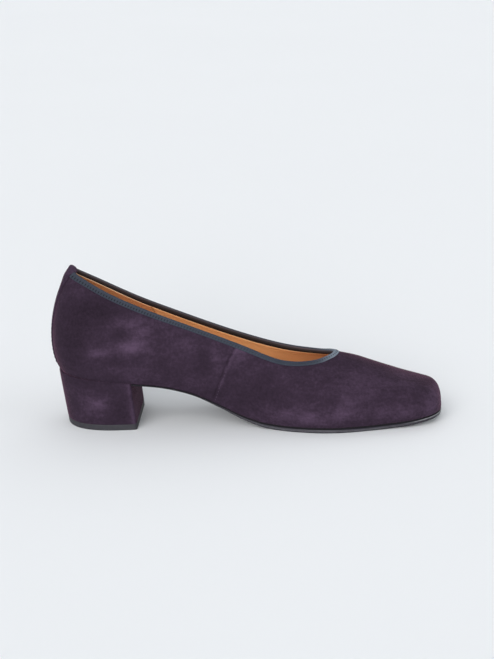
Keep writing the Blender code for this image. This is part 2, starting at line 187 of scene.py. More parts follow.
# The feather edge from above: station and side of its section, in mm
def featherPlan(at):
    station, side = sectionAt(at)[:2]
    return np.stack([xAt(station), side * last["ballWidth"]], axis=-1)


# Square to the feather edge in plan, away from the foot
def outwardPlan(at):
    step = last["slopeStep"]
    ahead = unit(featherPlan(at + step) - featherPlan(at - step))
    return np.stack([ahead[..., 1], -ahead[..., 0]], axis=-1)


# Sum of bells along the girth, each as high and as long as its row says
def rimRise(at):
    place, reach, height = rimRises.T
    gap = np.mod(np.asarray(at)[..., None] - place + girth / 2, girth) - girth / 2
    return (height * bell(gap, reach)).sum(axis=-1)


# Control points of a section of the wall: feather edge, its handle, the topline's handle, topline
def wallHandles(at):
    station, side, topStation, topSide, topHeight, bulge, lowRise, run, drop = sectionAt(at)
    width = last["ballWidth"]
    foot = np.stack([xAt(station), side * width], axis=-1)
    top = np.stack([xAt(topStation), topSide * width], axis=-1)
    away = outwardPlan(at)
    footZ = featherHeight(foot[..., 0])
    topZ = topHeight * last["collarHeight"] + rimRise(at)
    low = foot + away * (bulge * width)[..., None]
    high = top + unit(foot + away * last["handleLean"] - top) * (run * width)[..., None]
    heights = footZ, footZ + lowRise * (topZ - footZ), topZ - drop * (topZ - footZ), topZ
    return [lifted(plan, z) for plan, z in zip((foot, low, high, top), heights)]


# Outside of the upper: a cubic Bezier from feather edge (up 0) to topline (up 1), carried round the girth
def wallPoint(at, up):
    at, up = np.broadcast_arrays(np.asarray(at, float), np.asarray(up, float))
    foot, low, high, top = wallHandles(at)
    u = up[..., None]
    return foot * (1 - u) ** 3 + low * 3 * u * (1 - u) ** 2 + high * 3 * u * u * (1 - u) + top * u ** 3


# The wall's upper end at a place along the girth
def rimPoint(at):
    return wallPoint(at, np.ones(np.shape(at)))


# Unit directions on the wall by small differences: square out of it, and up along it
def wallFrame(at, up):
    step = last["slopeStep"]
    along = wallPoint(at + step, up) - wallPoint(at - step, up)
    rising = wallPoint(at, up + step) - wallPoint(at, up - step)
    return unit(np.cross(along, rising)), unit(rising)


# Points off the wall by lift, and the directions square out of it
def offWall(at, up, lift):
    square = wallFrame(at, up)[0]
    return wallPoint(at, up) + square * np.asarray(lift)[..., None], square


# The up that lies depth below the topline, from the Bezier's speed there
def upAtDepth(at, depth):
    high, top = wallHandles(at)[2:]
    return 1 - depth / (3 * np.linalg.norm(top - high, axis=-1))


# Girth places of both sides at equal x, closer together at heel and toe by a sine
def sidePairs(firstX, lastX, count, crowding=0.45):
    x = featherPlan(fineGirth)[:, 0]
    toe = int(np.argmax(x))
    first, final = np.interp([firstX, lastX], x[:toe + 1], fineGirth[:toe + 1])
    even = np.linspace(0, 1, count)
    inner = first + (final - first) * (even - crowding * np.sin(tau * even) / tau)
    return inner, np.interp(-featherPlan(inner)[:, 0], -x[toe:], fineGirth[toe:])


backX = featherPlan(np.zeros(1))[0, 0]
toeX = featherPlan(fineGirth)[:, 0].max()
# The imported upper's box says how far the last is moved to stand over the origin
roughAt = np.linspace(0, girth, last["roughColumns"])[None, :]
roughUp = np.linspace(0, 1, last["roughRows"])[:, None]
roughWall = wallPoint(roughAt, roughUp).reshape(-1, 3)
packedUpper = np.array([list(corner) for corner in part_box("upper")]) / mm
centring = 0.5 * (packedUpper.sum(axis=0) - roughWall.min(axis=0) - roughWall.max(axis=0)) * (1, 1, 0)
print("last set out: girth %.1f mm, moved by %.2f, %.2f mm" % (girth, centring[0], centring[1]))


# Meshes from arrays of points

# Corner numbers of the quads of a grid, which may close on itself either way
def gridQuads(rows, columns, wrapRows, wrapColumns):
    index = np.arange(rows * columns).reshape(rows, columns)
    right, above = np.roll(index, -1, axis=1), np.roll(index, -1, axis=0)
    quads = np.stack([index, right, np.roll(right, -1, axis=0), above], axis=-1)
    quads = quads if wrapRows else quads[:-1]
    return (quads if wrapColumns else quads[:, :-1]).reshape(-1, 4)


# A mesh object from points in millimetres and quads; points that coincide become one, so poles close
def addPiece(name, points, quads, finish, marks=None, sharp=False):
    mesh = bpy.data.meshes.new(name)
    flat = ((points.reshape(-1, 3) + centring) * mm).astype(np.float32)
    mesh.vertices.add(len(flat))
    mesh.vertices.foreach_set("co", flat.ravel())
    mesh.loops.add(quads.size)
    mesh.loops.foreach_set("vertex_index", quads.ravel().astype(np.int32))
    mesh.polygons.add(len(quads))
    mesh.polygons.foreach_set("loop_start", np.arange(0, quads.size, 4, dtype=np.int32))
    mesh.update(calc_edges=True)
    for mark, values in (marks or {}).items():
        layer = mesh.attributes.new(mark, "FLOAT", "POINT")
        everywhere = np.broadcast_to(values, points.shape[:-1])
        layer.data.foreach_set("value", everywhere.ravel().astype(np.float32))
    work = bmesh.new()
    work.from_mesh(mesh)
    bmesh.ops.remove_doubles(work, verts=work.verts, dist=mergeGap)
    bmesh.ops.recalc_face_normals(work, faces=work.faces)
    work.to_mesh(mesh)
    work.free()
    mesh.shade_smooth()
    if sharp:
        mesh.set_sharp_from_angle(angle=np.radians(sharpAngle))
    mesh.materials.append(finish)
    piece = bpy.data.objects.new(name, mesh)
    bpy.context.scene.collection.objects.link(piece)
    print("made %s: %d faces" % (name, len(mesh.polygons)))
    return piece


# A piece from a grid of points, closed on itself by rows or by columns where that is asked
def addGrid(name, points, finish, wrapRows=False, wrapColumns=False, marks=None, sharp=False):
    quads = gridQuads(points.shape[0], points.shape[1], wrapRows, wrapColumns)
    return addPiece(name, points, quads, finish, marks, sharp)


# Every piece rides on the one body and stands for its solids
def settle(piece, slot, *nodes):
    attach(piece, "root")
    if nodes:
        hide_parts(*nodes)


# Loops with their ends closed flat: an end loop's mean with its mirror partner, side for side, is a line
def closedEnds(loops, partner):
    first, final = (0.5 * (loop + loop[partner]) for loop in (loops[0], loops[-1]))
    return np.concatenate([first[None], loops, final[None]])


# Finishes

# An output socket; arithmetic on it adds Math nodes to its own tree
class Wire:
    def __init__(self, finish, socket):
        self.finish, self.socket = finish, socket

    def maths(self, operation, first, second):
        return self.finish.node("ShaderNodeMath", {"operation": operation}, {0: first, 1: second})

    def __add__(self, other):
        return self.maths("ADD", self, other)

    def __radd__(self, other):
        return self.maths("ADD", other, self)

    def __sub__(self, other):
        return self.maths("SUBTRACT", self, other)

    def __rsub__(self, other):
        return self.maths("SUBTRACT", other, self)

    def __mul__(self, other):
        return self.maths("MULTIPLY", self, other)

    def __rmul__(self, other):
        return self.maths("MULTIPLY", other, self)


# The node tree of a material or of the studio's surround, and the look whose settings its methods name
class Finish:
    def __init__(self, owner, look):
        self.owner, self.look = owner, look
        owner.use_nodes = True
        self.tree = owner.node_tree
        self.tree.nodes.clear()

    # Adds a node: its settings first, then values or links of its sockets, by name or number
    def node(self, kind, settings=None, inputs=None, out=0):
        made = self.tree.nodes.new(kind)
        for key, value in (settings or {}).items():
            if key == "stops":
                ramp = made.color_ramp.elements
                while len(ramp) < len(value):
                    ramp.new(0.5)
                for element, (position, colour) in zip(ramp, value):
                    element.position, element.color = position, (*colour, 1)
            else:
                setattr(made, key, value)
        for key, value in (inputs or {}).items():
            if isinstance(value, Wire):
                self.tree.links.new(value.socket, made.inputs[key])
            else:
                made.inputs[key].default_value = value
        return Wire(self, made.outputs[out]) if made.outputs else None

    def place(self):
        return self.node("ShaderNodeTexCoord", out="Object")

    def mark(self, name):
        return self.node("ShaderNodeAttribute", {"attribute_name": name}, out="Fac")

    # Noise about 0 of one of the look's grains: its size in millimetres, its detail and its roughness
    def noise(self, name, place=None):
        size, detail, roughness = self.look[name]
        made = self.node("ShaderNodeTexNoise", None, {
            "Vector": place or self.place(), "Scale": 1 / (size * mm), "Detail": detail,
            "Roughness": roughness})
        return made - 0.5

    def stretched(self, scale, turn):
        return self.node("ShaderNodeMapping", None, {
            "Vector": self.place(), "Scale": scale, "Rotation": turn})

    # One of the look's rows of shares: its base plus each value times its share
    def weigh(self, name, *values):
        total, *shares = self.look[name]
        for share, value in zip(shares, values):
            total = total + value * share
        return total

    # From one colour to another; each is a wire or one of the look's colours
    def mix(self, factor, *colours):
        first, second = (part if isinstance(part, Wire) else (*self.look[part], 1) for part in colours)
        return self.node("ShaderNodeMix", {"data_type": "RGBA"}, {0: factor, 6: first, 7: second}, out=2)

    def ramp(self, value, stops):
        return self.node("ShaderNodeValToRGB", {"stops": stops}, {0: value})

    # Principled surface; the look gives its plain sockets, and a bump's height in millimetres and strength
    def surface(self, colour, roughness, relief=None, coat=0.0):
        inputs = {"Base Color": colour, "Roughness": roughness, "Coat Weight": coat, **self.look["sockets"]}
        if relief is not None:
            height, strength = self.look["bump"]
            inputs["Normal"] = self.node("ShaderNodeBump", None, {
                "Height": relief, "Distance": height * mm, "Strength": strength})
        shader = self.node("ShaderNodeBsdfPrincipled", None, inputs)
        self.node("ShaderNodeOutputMaterial", None, {"Surface": shader})
        return self.owner


def newFinish(name, look):
    return Finish(bpy.data.materials.new(name), look)


# In a look, a grain is (size in mm, detail, roughness), and a row of shares is a base and then the share of
# each value in the order in which they are weighed

# Napped suede: its tone follows the patches in the nap mark, which are partly brushed nap and partly
# painted light and shade, broken up by noise down to the fibres
suedeLook = {
    "deep": (0.0112, 0.0066, 0.0120), "body": (0.0262, 0.0158, 0.0284), "brushedAndLit": (0.0650, 0.0402, 0.0710),
    "broad": (16.0, 3, 0.5), "streak": (5.0, 3, 0.6), "fleck": (1.7, 2, 0.6), "fibre": (0.35, 3, 0.7),
    "streakStretch": (0.55, 1, 1.3), "streakTurn": (0, 0.5, 0),
    "patch": (0.72, 0.9, 0.8), "tone": (0.42, 0.28, 0.45, 0.53, 0.30), "bodyTone": 0.42,
    "relief": (0.5, 1.0, 0.8, 0.5), "rough": (0.93, 0.1), "bump": (0.22, 0.75),
    "sockets": {"Sheen Weight": 0.15, "Sheen Roughness": 0.28, "Sheen Tint": (0.80, 0.32, 0.52, 1),
                "Specular IOR Level": 0.10},
}


def suedeFinish():
    look, finish = suedeLook, newFinish("suede", suedeLook)
    broad, fleck, fibre = finish.noise("broad"), finish.noise("fleck"), finish.noise("fibre")
    streak = finish.noise("streak", finish.stretched(look["streakStretch"], look["streakTurn"]))
    patch = finish.mark("nap") * finish.weigh("patch", broad, streak)
    tone = patch + finish.weigh("tone", broad, streak, fleck, fibre)
    colour = finish.ramp(tone, [
        (0.0, look["deep"]), (look["bodyTone"], look["body"]), (1.0, look["brushedAndLit"])])
    relief = finish.weigh("relief", fibre, fleck, streak)
    return finish.surface(colour, finish.weigh("rough", fibre), relief)


# Ribbed tape: slate outside, a browner crest, a dark inner leg, a painted highlight where it bends round the
# throat and painted shade in the pits round its stitches
bindingLook = {
    "slate": (0.0175, 0.0225, 0.0335), "slateLight": (0.048, 0.056, 0.077), "throat": (0.205, 0.245, 0.295),
    "crest": (0.072, 0.052, 0.055), "inner": (0.0105, 0.0066, 0.0054), "pit": (0.0060, 0.0075, 0.0105),
    "weave": (0.5, 2, 0.6), "wear": (6.0, 3, 0.5),
    "slateTone": (0.22, 0.30, 0.6, 0.4), "throatTone": (0.8, 0.5), "innerTone": (0.12, 0.4, 0.3),
    "pitTone": (0.80, 1.6), "pitAtThroat": (1, -0.6), "rough": (0.72, 0.2), "bump": (0.08, 0.7),
    "sockets": {"Specular IOR Level": 0.16},
}


def bindingFinish():
    finish = newFinish("binding_tape", bindingLook)
    weave, wear = finish.noise("weave"), finish.noise("wear")
    rib, inside, throat, pit = (finish.mark(name) for name in ("rib", "inside", "throat", "pit"))
    slate = finish.mix(finish.weigh("slateTone", rib, wear, weave), "slate", "slateLight")
    # a painted highlight where the tape bends round the throat
    outer = finish.mix(throat * finish.weigh("throatTone", wear), slate, "throat")
    inner = finish.mix(finish.weigh("innerTone", weave, throat), "inner", "crest")
    # painted shade in the pits round the stitches, less of it at the throat
    sunk = pit * finish.weigh("pitTone", wear) * finish.weigh("pitAtThroat", throat)
    sewn = finish.mix(sunk, outer, "pit")
    folded = finish.mix(inside * 2, sewn, finish.mix(throat, "crest", "slateLight"))
    colour = finish.mix(inside * 2 - 1, folded, inner)
    return finish.surface(colour, finish.weigh("rough", weave), weave)


# Twisted thread, which takes another tone where its mark says that it is worn
threadLook = {
    "twist": (0.3, 2, 0.5), "shade": 0.55, "rough": (0.7, 0.2), "bump": (0.05, 0.5),
    "sockets": {"Specular IOR Level": 0.12},
}
slateThreadLook = {**threadLook, "lit": (0.0080, 0.0097, 0.0135), "worn": (0.0270, 0.0330, 0.0460)}
suedeThreadLook = {**threadLook, "lit": (0.060, 0.040, 0.066), "worn": (0.060, 0.040, 0.066)}


def threadFinish(name, look):
    dark = tuple(look["shade"] * part for part in look["lit"])
    finish = newFinish(name, {**look, "dark": dark})
    twist = finish.noise("twist")
    thread = finish.mix(0.5 + twist, "dark", "lit")
    colour = finish.mix(finish.mark("worn"), thread, "worn")
    return finish.surface(colour, finish.weigh("rough", twist), twist)


# Smooth lining leather, browner in the heel grip, pale where its edge is cut, with painted shade towards
# the heel and the throat and painted light between
liningLook = {
    "tan": (0.72, 0.335, 0.150), "tanLight": (0.95, 0.535, 0.243), "grip": (0.60, 0.295, 0.125),
    "cut": (0.90, 0.66, 0.44), "seam": (0.20, 0.085, 0.035),
    "cloud": (14.0, 3, 0.5), "grain": (0.55, 2, 0.6), "pore": 1.6,
    "cloudTone": 0.5, "grainTone": 0.12, "seamTone": 0.8, "rough": (0.46, 0.15, 0.1),
    "relief": (0.3, 0.6, 0.5), "bump": (0.05, 0.5), "sockets": {"Specular IOR Level": 0.4},
}


def liningFinish():
    look, finish = liningLook, newFinish("lining_leather", liningLook)
    cloud, grain = finish.noise("cloud"), finish.noise("grain")
    pore = finish.node("ShaderNodeTexVoronoi", {"feature": "DISTANCE_TO_EDGE"}, {
        "Vector": finish.place(), "Scale": 1 / (look["pore"] * mm)})
    # painted light and shade along the lining, broken up by cloudy tone
    worn = finish.mark("worn") + cloud * look["cloudTone"]
    tan = finish.mix(worn + grain * look["grainTone"], "tan", "tanLight")
    leather = finish.mix(finish.mark("grip"), tan, finish.mix(worn, "grip", "tan"))
    joined = finish.mix(finish.mark("seam") * look["seamTone"], leather, "seam")
    colour = finish.mix(finish.mark("cut"), joined, "cut")
    relief = finish.weigh("relief", pore, grain)
    return finish.surface(colour, finish.weigh("rough", grain, cloud), relief)


# Covered insole: pale beige leather, a little darker along its edge
insoleLook = {
    "beige": (0.80, 0.615, 0.465), "light": (0.86, 0.695, 0.550), "edge": (0.66, 0.43, 0.27),
    "cloud": (22.0, 3, 0.5), "grain": (0.6, 3, 0.6), "tone": (0.5, 0.9, 0.15), "edgeTone": (0.6, 0.6),
    "rough": (0.5, 0.15, 0.1), "bump": (0.04, 0.5), "sockets": {"Specular IOR Level": 0.4},
}


def insoleFinish():
    finish = newFinish("insole_leather", insoleLook)
    cloud, grain = finish.noise("cloud"), finish.noise("grain")
    beige = finish.mix(finish.weigh("tone", cloud, grain), "beige", "light")
    colour = finish.mix(finish.mark("edge") * finish.weigh("edgeTone", cloud), beige, "edge")
    return finish.surface(colour, finish.weigh("rough", grain, cloud), grain)


# Moulded rubber: near black, a little dusty and satin; painted highlights on the sole's band, and painted
# shade in the recess under the upper
rubberLook = {
    "recess": (0.004, 0.0035, 0.005), "recessShadeTone": 0.8, "tone": (0.4, 1.1, 0.3), "highlightTone": (0.45, 0.8),
    "bump": (0.06, 0.35), "sockets": {"Coat Roughness": 0.3, "Specular IOR Level": 0.16},
}
soleLook = {
    **rubberLook, "black": (0.010, 0.0086, 0.0140), "dusty": (0.030, 0.0270, 0.0375),
    "rubbed": (0.230, 0.236, 0.248), "dust": (3.0, 4, 0.6), "pebble": (0.5, 2, 0.5),
    "rough": (0.45, 0.25, 0.1, 0.3), "coat": 0.30,
}
topPieceLook = {
    **rubberLook, "black": (0.022, 0.0215, 0.026), "dusty": (0.043, 0.0425, 0.050),
    "rubbed": (0.10, 0.10, 0.11), "dust": (2.5, 4, 0.6), "pebble": (0.45, 2, 0.5),
    "rough": (0.58, 0.25, 0.1, 0.3), "coat": 0.10,
}


def rubberFinish(name, look):
    finish = newFinish(name, look)
    dust, pebble = finish.noise("dust"), finish.noise("pebble")
    recess = finish.mark("recess")
    plain = finish.mix(finish.weigh("tone", dust, pebble), "black", "dusty")
    # a painted highlight on the band where its mark says
    rubber = finish.mix(finish.mark("rub") * finish.weigh("highlightTone", dust), plain, "rubbed")
    # painted shade in the recess under the upper and along the waist's edge
    colour = finish.mix(recess * look["recessShadeTone"], rubber, "recess")
    rough = finish.weigh("rough", dust, pebble, recess)
    return finish.surface(colour, rough, pebble + dust, look["coat"] * (1 - recess))


finishes = {
    "upper": suedeFinish(),
    "binding": bindingFinish(),
    "lining": liningFinish(),
    "insole": insoleFinish(),
    "sole": rubberFinish("sole_rubber", soleLook),
    "topPiece": rubberFinish("top_piece_rubber", topPieceLook),
    "slateThread": threadFinish("slate_thread", slateThreadLook),
    "suedeThread": threadFinish("suede_thread", suedeThreadLook),
}
print("finishes ready:", len(finishes))

# Patches of brushed nap and of painted light and shade: centre in mm, reach along x and z, and how much
# lighter or darker they lie
napReachAcross = 16.0
napAndShadingPatches = [
    # counter and quarter, inner side
    ((-92.5, -28, 51.9), (7, 2.8), 0.72), ((-81, -27, 50.5), (3.5, 4.0), -0.12),
    ((-71, -27, 54.5), (9.5, 3.6), 0.62), ((-65, -22, 63), (8, 7.0), 0.36),
    ((-76, -20, 69), (9, 4.0), 0.24), ((-37, -24, 56), (8, 6.0), 0.18), ((-18, -25, 51), (4, 6.0), 0.30),
    ((-4, -26, 49), (5, 6.5), 0.52),
    ((-79, -24, 62), (6, 4.0), -0.20), ((-108, -22, 58), (12, 20.0), -0.34),
    ((-92, -18, 77), (17, 8.0), -0.36), ((-80, -27, 46), (12, 3.5), -0.18),
    ((-25, -27, 44), (5, 9.0), -0.28), ((-20, -26, 23), (7, 5.0), -0.24), ((-41, -26, 34), (20, 5.0), -0.02),
    # vamp and toe, inner side
    ((82, -22, 27), (32, 12.0), 0.17), ((20, -35, 11), (8, 5.0), 0.24), ((34, -39, 13), (10, 4.5), 0.34),
    ((42, -40, 9), (10, 4.0), 0.30), ((59, -41, 13), (11, 4.5), 0.42), ((66, -36, 23), (10, 6.0), 0.20),
    ((97, -33, 11), (17, 4.5), 0.26), ((90, -18, 29), (16, 5.0), 0.08), ((8, -31, 25), (17, 9.0), -0.24),
    # painted shade where the toe turns to its front, and a painted highlight on the front face and its rim
    ((106, -29, 17), (7, 9.0), -0.16), ((117, -21, 16), (4.5, 10.0), 0.46), ((123, -6, 14), (4, 10.0), 0.40),
    ((104, -6, 30), (10, 6.0), 0.14), ((78, 6, 34), (14, 8.0), -0.16),
    # heel
    ((-93.5, -26, 17.5), (8, 5.5), 0.46), ((-96, -26, 31), (17, 4.5), -0.22),
    ((-80, -26, 12), (8, 13.0), -0.28), ((-103, -24, 10), (5, 4.0), 0.02), ((-70, -8, 17), (3, 18.0), 0.50),
    ((-90, 26, 18), (10, 7.0), 0.30),
    # outer side
    ((-70, 27, 50), (14, 7.0), 0.40), ((-30, 30, 36), (16, 7.0), 0.28), ((25, 37, 14), (14, 6.0), 0.36),
    ((70, 28, 20), (13, 6.0), 0.28), ((-98, 22, 58), (9, 12.0), -0.24), ((0, 34, 22), (12, 8.0), -0.22),
]


# Sum of bells round the patches, each as wide as its reach
def napAndShadingAt(points):
    nap = np.zeros(points.shape[:-1])
    for centre, (reachX, reachZ), gain in napAndShadingPatches:
        away = (points + centring - np.array(centre)) / (reachX, napReachAcross, reachZ)
        nap += gain * np.exp(-(away ** 2).sum(axis=-1))
    return nap


# Vamp and quarters
upper = {
    "columns": 520, "rowsOut": 74, "rowsIn": 22, "thickness": 1.05, "fade": 0.05,
    # hem at the feather edge, turned in on the sole: inset and drop in mm
    "hem": [(0.95, 0.26), (0.55, 0.27), (0.25, 0.20), (0.07, 0.08)],
    # the side seam's line along the girth, its groove, and the lips to either side of it
    "seamFoot": 0.2050, "seamLean": 0.0228, "seamBend": 0.0062, "seamDepth": 0.36, "seamWidth": 0.5,
    "seamLip": 0.34, "quarterLip": 0.45, "lipStart": 0.9, "lipReach": 3.0,
    # painted highlight on the vamp's lip: strength, its rise, place and reach; painted shade in the groove
    "lipHighlight": 0.10, "lipHighlightRise": 0.22, "lipHighlightAt": 1.2, "lipHighlightReach": 0.9,
    "grooveShade": 0.22, "grooveShadeAt": -0.4, "grooveShadeReach": 0.8,
    "crowd": 5.0, "crowdReach": 4.0, "leanReach": 30.0,
}
# Soft troughs (depth above 0) and ridges: from, to, half width and depth in mm
creases = [
    ((-26, -27, 50), (-29, -27, 33), 4.5, 0.40),    # slack quarter behind the side seam
    ((-17, -25, 52), (-22, -27, 36), 4.0, -0.22),
    ((-46, -25, 58), (-52, -27, 40), 7.0, 0.28),    # front of the heel stiffener
    ((-60, -26, 60), (-64, -28, 42), 8.0, -0.20),
    ((-98, -22, 44), (-60, -27, 41), 5.0, 0.22),    # lasting pull over the seat
    ((22, -33, 27), (36, -40, 12), 5.0, 0.22),      # flex of the ball, inner side
    ((37, -34, 29), (49, -41, 13), 5.5, 0.26),
    ((50, -30, 33), (62, -41, 16), 5.0, -0.16),
    ((66, -8, 37), (68, 18, 34), 10.0, -1.10),      # full vamp in front of the throat
    ((99, -12, 30), (100, 14, 28), 13.0, 1.20),     # flatter towards the toe puff
    ((118, -4, 21.5), (117, 12, 20.5), 5.5, -1.0),  # full edge of the toe puff
    ((123, -19, 12), (124, -4, 13), 6.0, 0.80),     # flat front of the toe
    ((60, -14, 37), (66, 14, 33), 5.0, 0.22),       # over the vamp
    ((84, -24, 29), (86, 6, 29), 6.0, 0.20),        # back edge of the toe puff
    ((20, 37, 22), (34, 37, 11), 5.0, 0.24),        # flex of the ball, outer side
    ((36, 34, 24), (48, 35, 12), 5.5, 0.22),
    ((-40, 29, 46), (-46, 31, 30), 7.0, 0.30),      # quarter and counter, outer side
    ((-72, 26, 60), (-78, 28, 42), 8.0, -0.22),
]


# The side seam's place along the girth: a slightly bent line that leans to the toe as it rises
def seamAt(up):
    return (upper["seamFoot"] + upper["seamLean"] * up + upper["seamBend"] * up * up) * girth


# Columns crowd round the side seam by an even count of a bell-shaped density
def upperColumns():
    density = 1 + upper["crowd"] * bell(fineGirth - seamAt(0.5), upper["crowdReach"])
    share = np.concatenate([[0], np.cumsum(0.5 * (density[1:] + density[:-1]))])
    return np.interp(np.arange(upper["columns"]) / upper["columns"] * share[-1], share, fineGirth)


# Columns near the seam move with it as it leans, by a bell round its middle
def leaned(columns, up):
    return columns + (seamAt(up) - seamAt(0.5)) * bell(columns - seamAt(0.5), upper["leanReach"])


# Distance to a crease's middle line gives a bell-shaped trough; the sum of them all
def creaseRelief(points):
    relief = np.zeros(points.shape[:-1])
    for start, end, reach, depth in creases:
        start, along = np.array(start, float), np.subtract(end, start).astype(float)
        local = points + centring - start
        t = np.clip(local @ along / (along @ along), 0, 1)
        relief -= depth * bell(np.linalg.norm(local - t[..., None] * along, axis=-1), reach)
    return relief


# Share of the relief that is left near the hem and near the topline, where it runs out to nothing
def reliefShare(up):
    return rise(1 - up, 0, upper["fade"]) * rise(up, 0, upper["fade"])


# The outside of the wall with its creases, and the directions square out of it
def creasedWall(at, up):
    points, normal = offWall(at, up, 0)
    return points + normal * (creaseRelief(points) * reliefShare(up))[..., None], normal


# A narrow groove along the seam, with a lip on the vamp's side, and a lower one behind, that die away
def seamRelief(at, up):
    gap = at - seamAt(up)
    side = np.where(gap > 0, 1.0, upper["quarterLip"])
    fading = np.exp(-np.abs(gap) / upper["lipReach"]) * (1 - bell(gap, upper["lipStart"]))
    return upper["seamLip"] * side * fading - upper["seamDepth"] * bell(gap, upper["seamWidth"])


# The creased wall with the seam's groove and lips
def seamedWall(at, up):
    points, normal = creasedWall(at, up)
    return points + normal * (seamRelief(at, up) * reliefShare(up))[..., None], normal


# Painted highlight and shade along the seam: a bell of painted highlight on the vamp's lip, stronger as it
# rises, less a bell of painted shade in the groove
def seamHighlightAndShade(at, up):
    gap = at - seamAt(up)
    lip = (upper["lipHighlight"] + upper["lipHighlightRise"] * up) * bell(gap - upper["lipHighlightAt"], upper["lipHighlightReach"])
    groove = upper["grooveShade"] * up * bell(gap - upper["grooveShadeAt"], upper["grooveShadeReach"])
    return (lip - groove) * reliefShare(up)


# The wall's outside from hem to rim and its inside back down, as one loop carried round the girth
def makeUpper():
    columns = upperColumns()[None, :]
    up = np.linspace(0, 1, upper["rowsOut"])[:, None]
    at = leaned(columns, up)
    outside = seamedWall(at, up)[0]
    down = np.linspace(1, 0, upper["rowsIn"])[:, None]
    points, normal = creasedWall(leaned(columns, down), down)
    inside = points - upper["thickness"] * normal
    foot, away = outside[0], outwardPlan(at[0])
    hem = np.stack([lifted(foot[:, :2] - inset * away, foot[:, 2] - drop) for inset, drop in upper["hem"]])
    rows = np.concatenate([hem, outside, inside])
    nap = napAndShadingAt(rows)
    # painted highlight and shade along the seam
    nap[len(hem):len(hem) + len(up)] += seamHighlightAndShade(at, up)
    return addGrid("upper_suede", rows, finishes["upper"], True, True, {"nap": nap})


# Lining, behind the suede: its cut edge lies over the binding's inner leg, and a heel grip's front edge
# stands a little proud
lining = {
    "columns": 760, "rows": 44, "outer": 1.08, "inner": 1.8, "foot": 0.004, "outerDepth": 3.6,
    # depth below the rim and distance in from the suede's face, in mm, and how much of the cut edge shows
    "edge": [(3.1, 2.0, 0.3), (2.5, 2.2, 0.4), (2.33, 2.40, 0.4), (2.40, 2.56, 0.3), (2.70, 2.62, 0.1),
             (3.15, 2.58, 0.0), (3.95, 2.44, 0.0), (5.1, 2.20, 0.0), (6.6, 1.98, 0.0), (8.5, 1.85, 0.0)],
    # how much the lip is drawn up at the heel, from which x and over how far
    "raise": 0.075, "raiseX": -40.0, "raiseRun": 60.0,
    # where the lip sinks behind the back strip's folded leg, over how far, and how deep
    "stripHalf": 4.6, "stripRun": 0.8, "stripSink": 0.03,
    # x along the shoe, how pale the leather is painted there, painted shade at the heel and the throat and
    # painted light between, and how much of its cut edge shows
    "wear": [(-112, 0.05, 2.4), (-92, 0.25, 2.3), (-76, 0.65, 2.0), (-66, 0.85, 1.0), (-58, 0.75, 0.45),
             (-20, 0.95, 0.25), (12, 0.92, 0.25), (34, 0.42, 0.25), (56, 0.05, 0.25)],
    # front edge of the heel grip: its x at a level, how it leans, its step, its softness and its groove
    "gripX": -62.0, "gripLevel": 74.0, "gripLean": 0.30, "gripStep": 0.22, "gripEdge": 0.45,
    "grooveDepth": 0.25,
}


# Depth inside the rim with the lip drawn up at the heel: a parabola that is nothing at the rim and where
# the lining lies flat, and most half way between
def raisedLip(at, depth):
    heelward = rise(rimPoint(at)[..., 0], lining["raiseX"], -lining["raiseRun"])
    return depth - lining["raise"] * heelward * depth * (lining["edge"][-1][0] - depth)


# Distance behind the heel grip's front edge, a line that leans back as it rises
def behindGrip(points):
    place = points + centring
    front = lining["gripX"] + lining["gripLean"] * (lining["gripLevel"] - place[..., 2])
    return front - place[..., 0]


# The rounded cut edge, the inside down to the feather edge and the back face up again, as one closed loop
def makeLining():
    columns = np.arange(lining["columns"])[None, :] / lining["columns"] * girth
    depths, insets, cuts = np.array(lining["edge"]).T[..., None]
    edgeUps = upAtDepth(columns, raisedLip(columns, depths))
    rim = rimPoint(columns)
    fromStrip = (np.abs(rim[..., 1]) - lining["stripHalf"]) / lining["stripRun"]
    sunk = np.where(rim[..., 0] < 0, 0.5 - 0.5 * np.tanh(fromStrip), 0)
    insets = insets + (lining["inner"] - lining["stripSink"] - insets) * sunk
    share = np.linspace(0, 1, lining["rows"] + 1)[1:, None]
    down = np.concatenate([edgeUps, edgeUps[-1:] * (1 - share) + lining["foot"] * share])
    at = np.broadcast_to(columns, down.shape)
    inset = np.concatenate([insets, np.full((lining["rows"], lining["columns"]), lining["inner"])])
    points, normal = creasedWall(at, down)
    behind = behindGrip(points)
    grip = 0.5 + 0.5 * np.tanh(behind / lining["gripEdge"])
    seam = bell(behind, lining["gripEdge"])
    relief = lining["gripStep"] * grip - lining["grooveDepth"] * seam
    inside = points - normal * (inset + relief)[..., None]
    ups = down[::-2].clip(None, upAtDepth(columns, lining["outerDepth"]))
    points, normal = creasedWall(at[:len(ups)], ups)
    rows = np.concatenate([inside, points - lining["outer"] * normal])
    along = rows[..., 0] + centring[0]
    shadingX, shadingThere, cutThere = np.array(lining["wear"], float).T
    cut = np.concatenate([cuts, np.zeros((len(rows) - len(cuts), 1))])
    marks = {
        "grip": np.concatenate([grip, grip[::-2]]), "seam": np.concatenate([seam, seam[::-2]]),
        "cut": cut * np.interp(along, shadingX, cutThere), "worn": np.interp(along, shadingX, shadingThere),
    }
    return addGrid("lining", rows, finishes["lining"], True, True, marks)


# Path over the topline: up the outside to the rim, a half turn round it, and down the inside;
# gives points on the wall's faces and the directions square out of them, a row for each step
def overTopline(outerSteps, turns, innerSteps):
    steps = [offWall(at, up, 0) for at, up in outerSteps]
    rimAt = outerSteps[-1][0]
    rim = rimPoint(rimAt)
    out, rising = wallFrame(rimAt, np.ones(np.shape(rimAt)))
    for turn in np.linspace(0, np.pi, turns + 2)[1:-1]:
        inward = 0.5 * last["wall"] * (1 - np.cos(turn))
        steps.append((rim - inward * out, np.cos(turn) * out + np.sin(turn) * rising))
    for at, up in innerSteps:
        points, square = offWall(at, up, -last["wall"])
        steps.append((points, -square))
    return (np.stack(rows) for rows in zip(*steps))


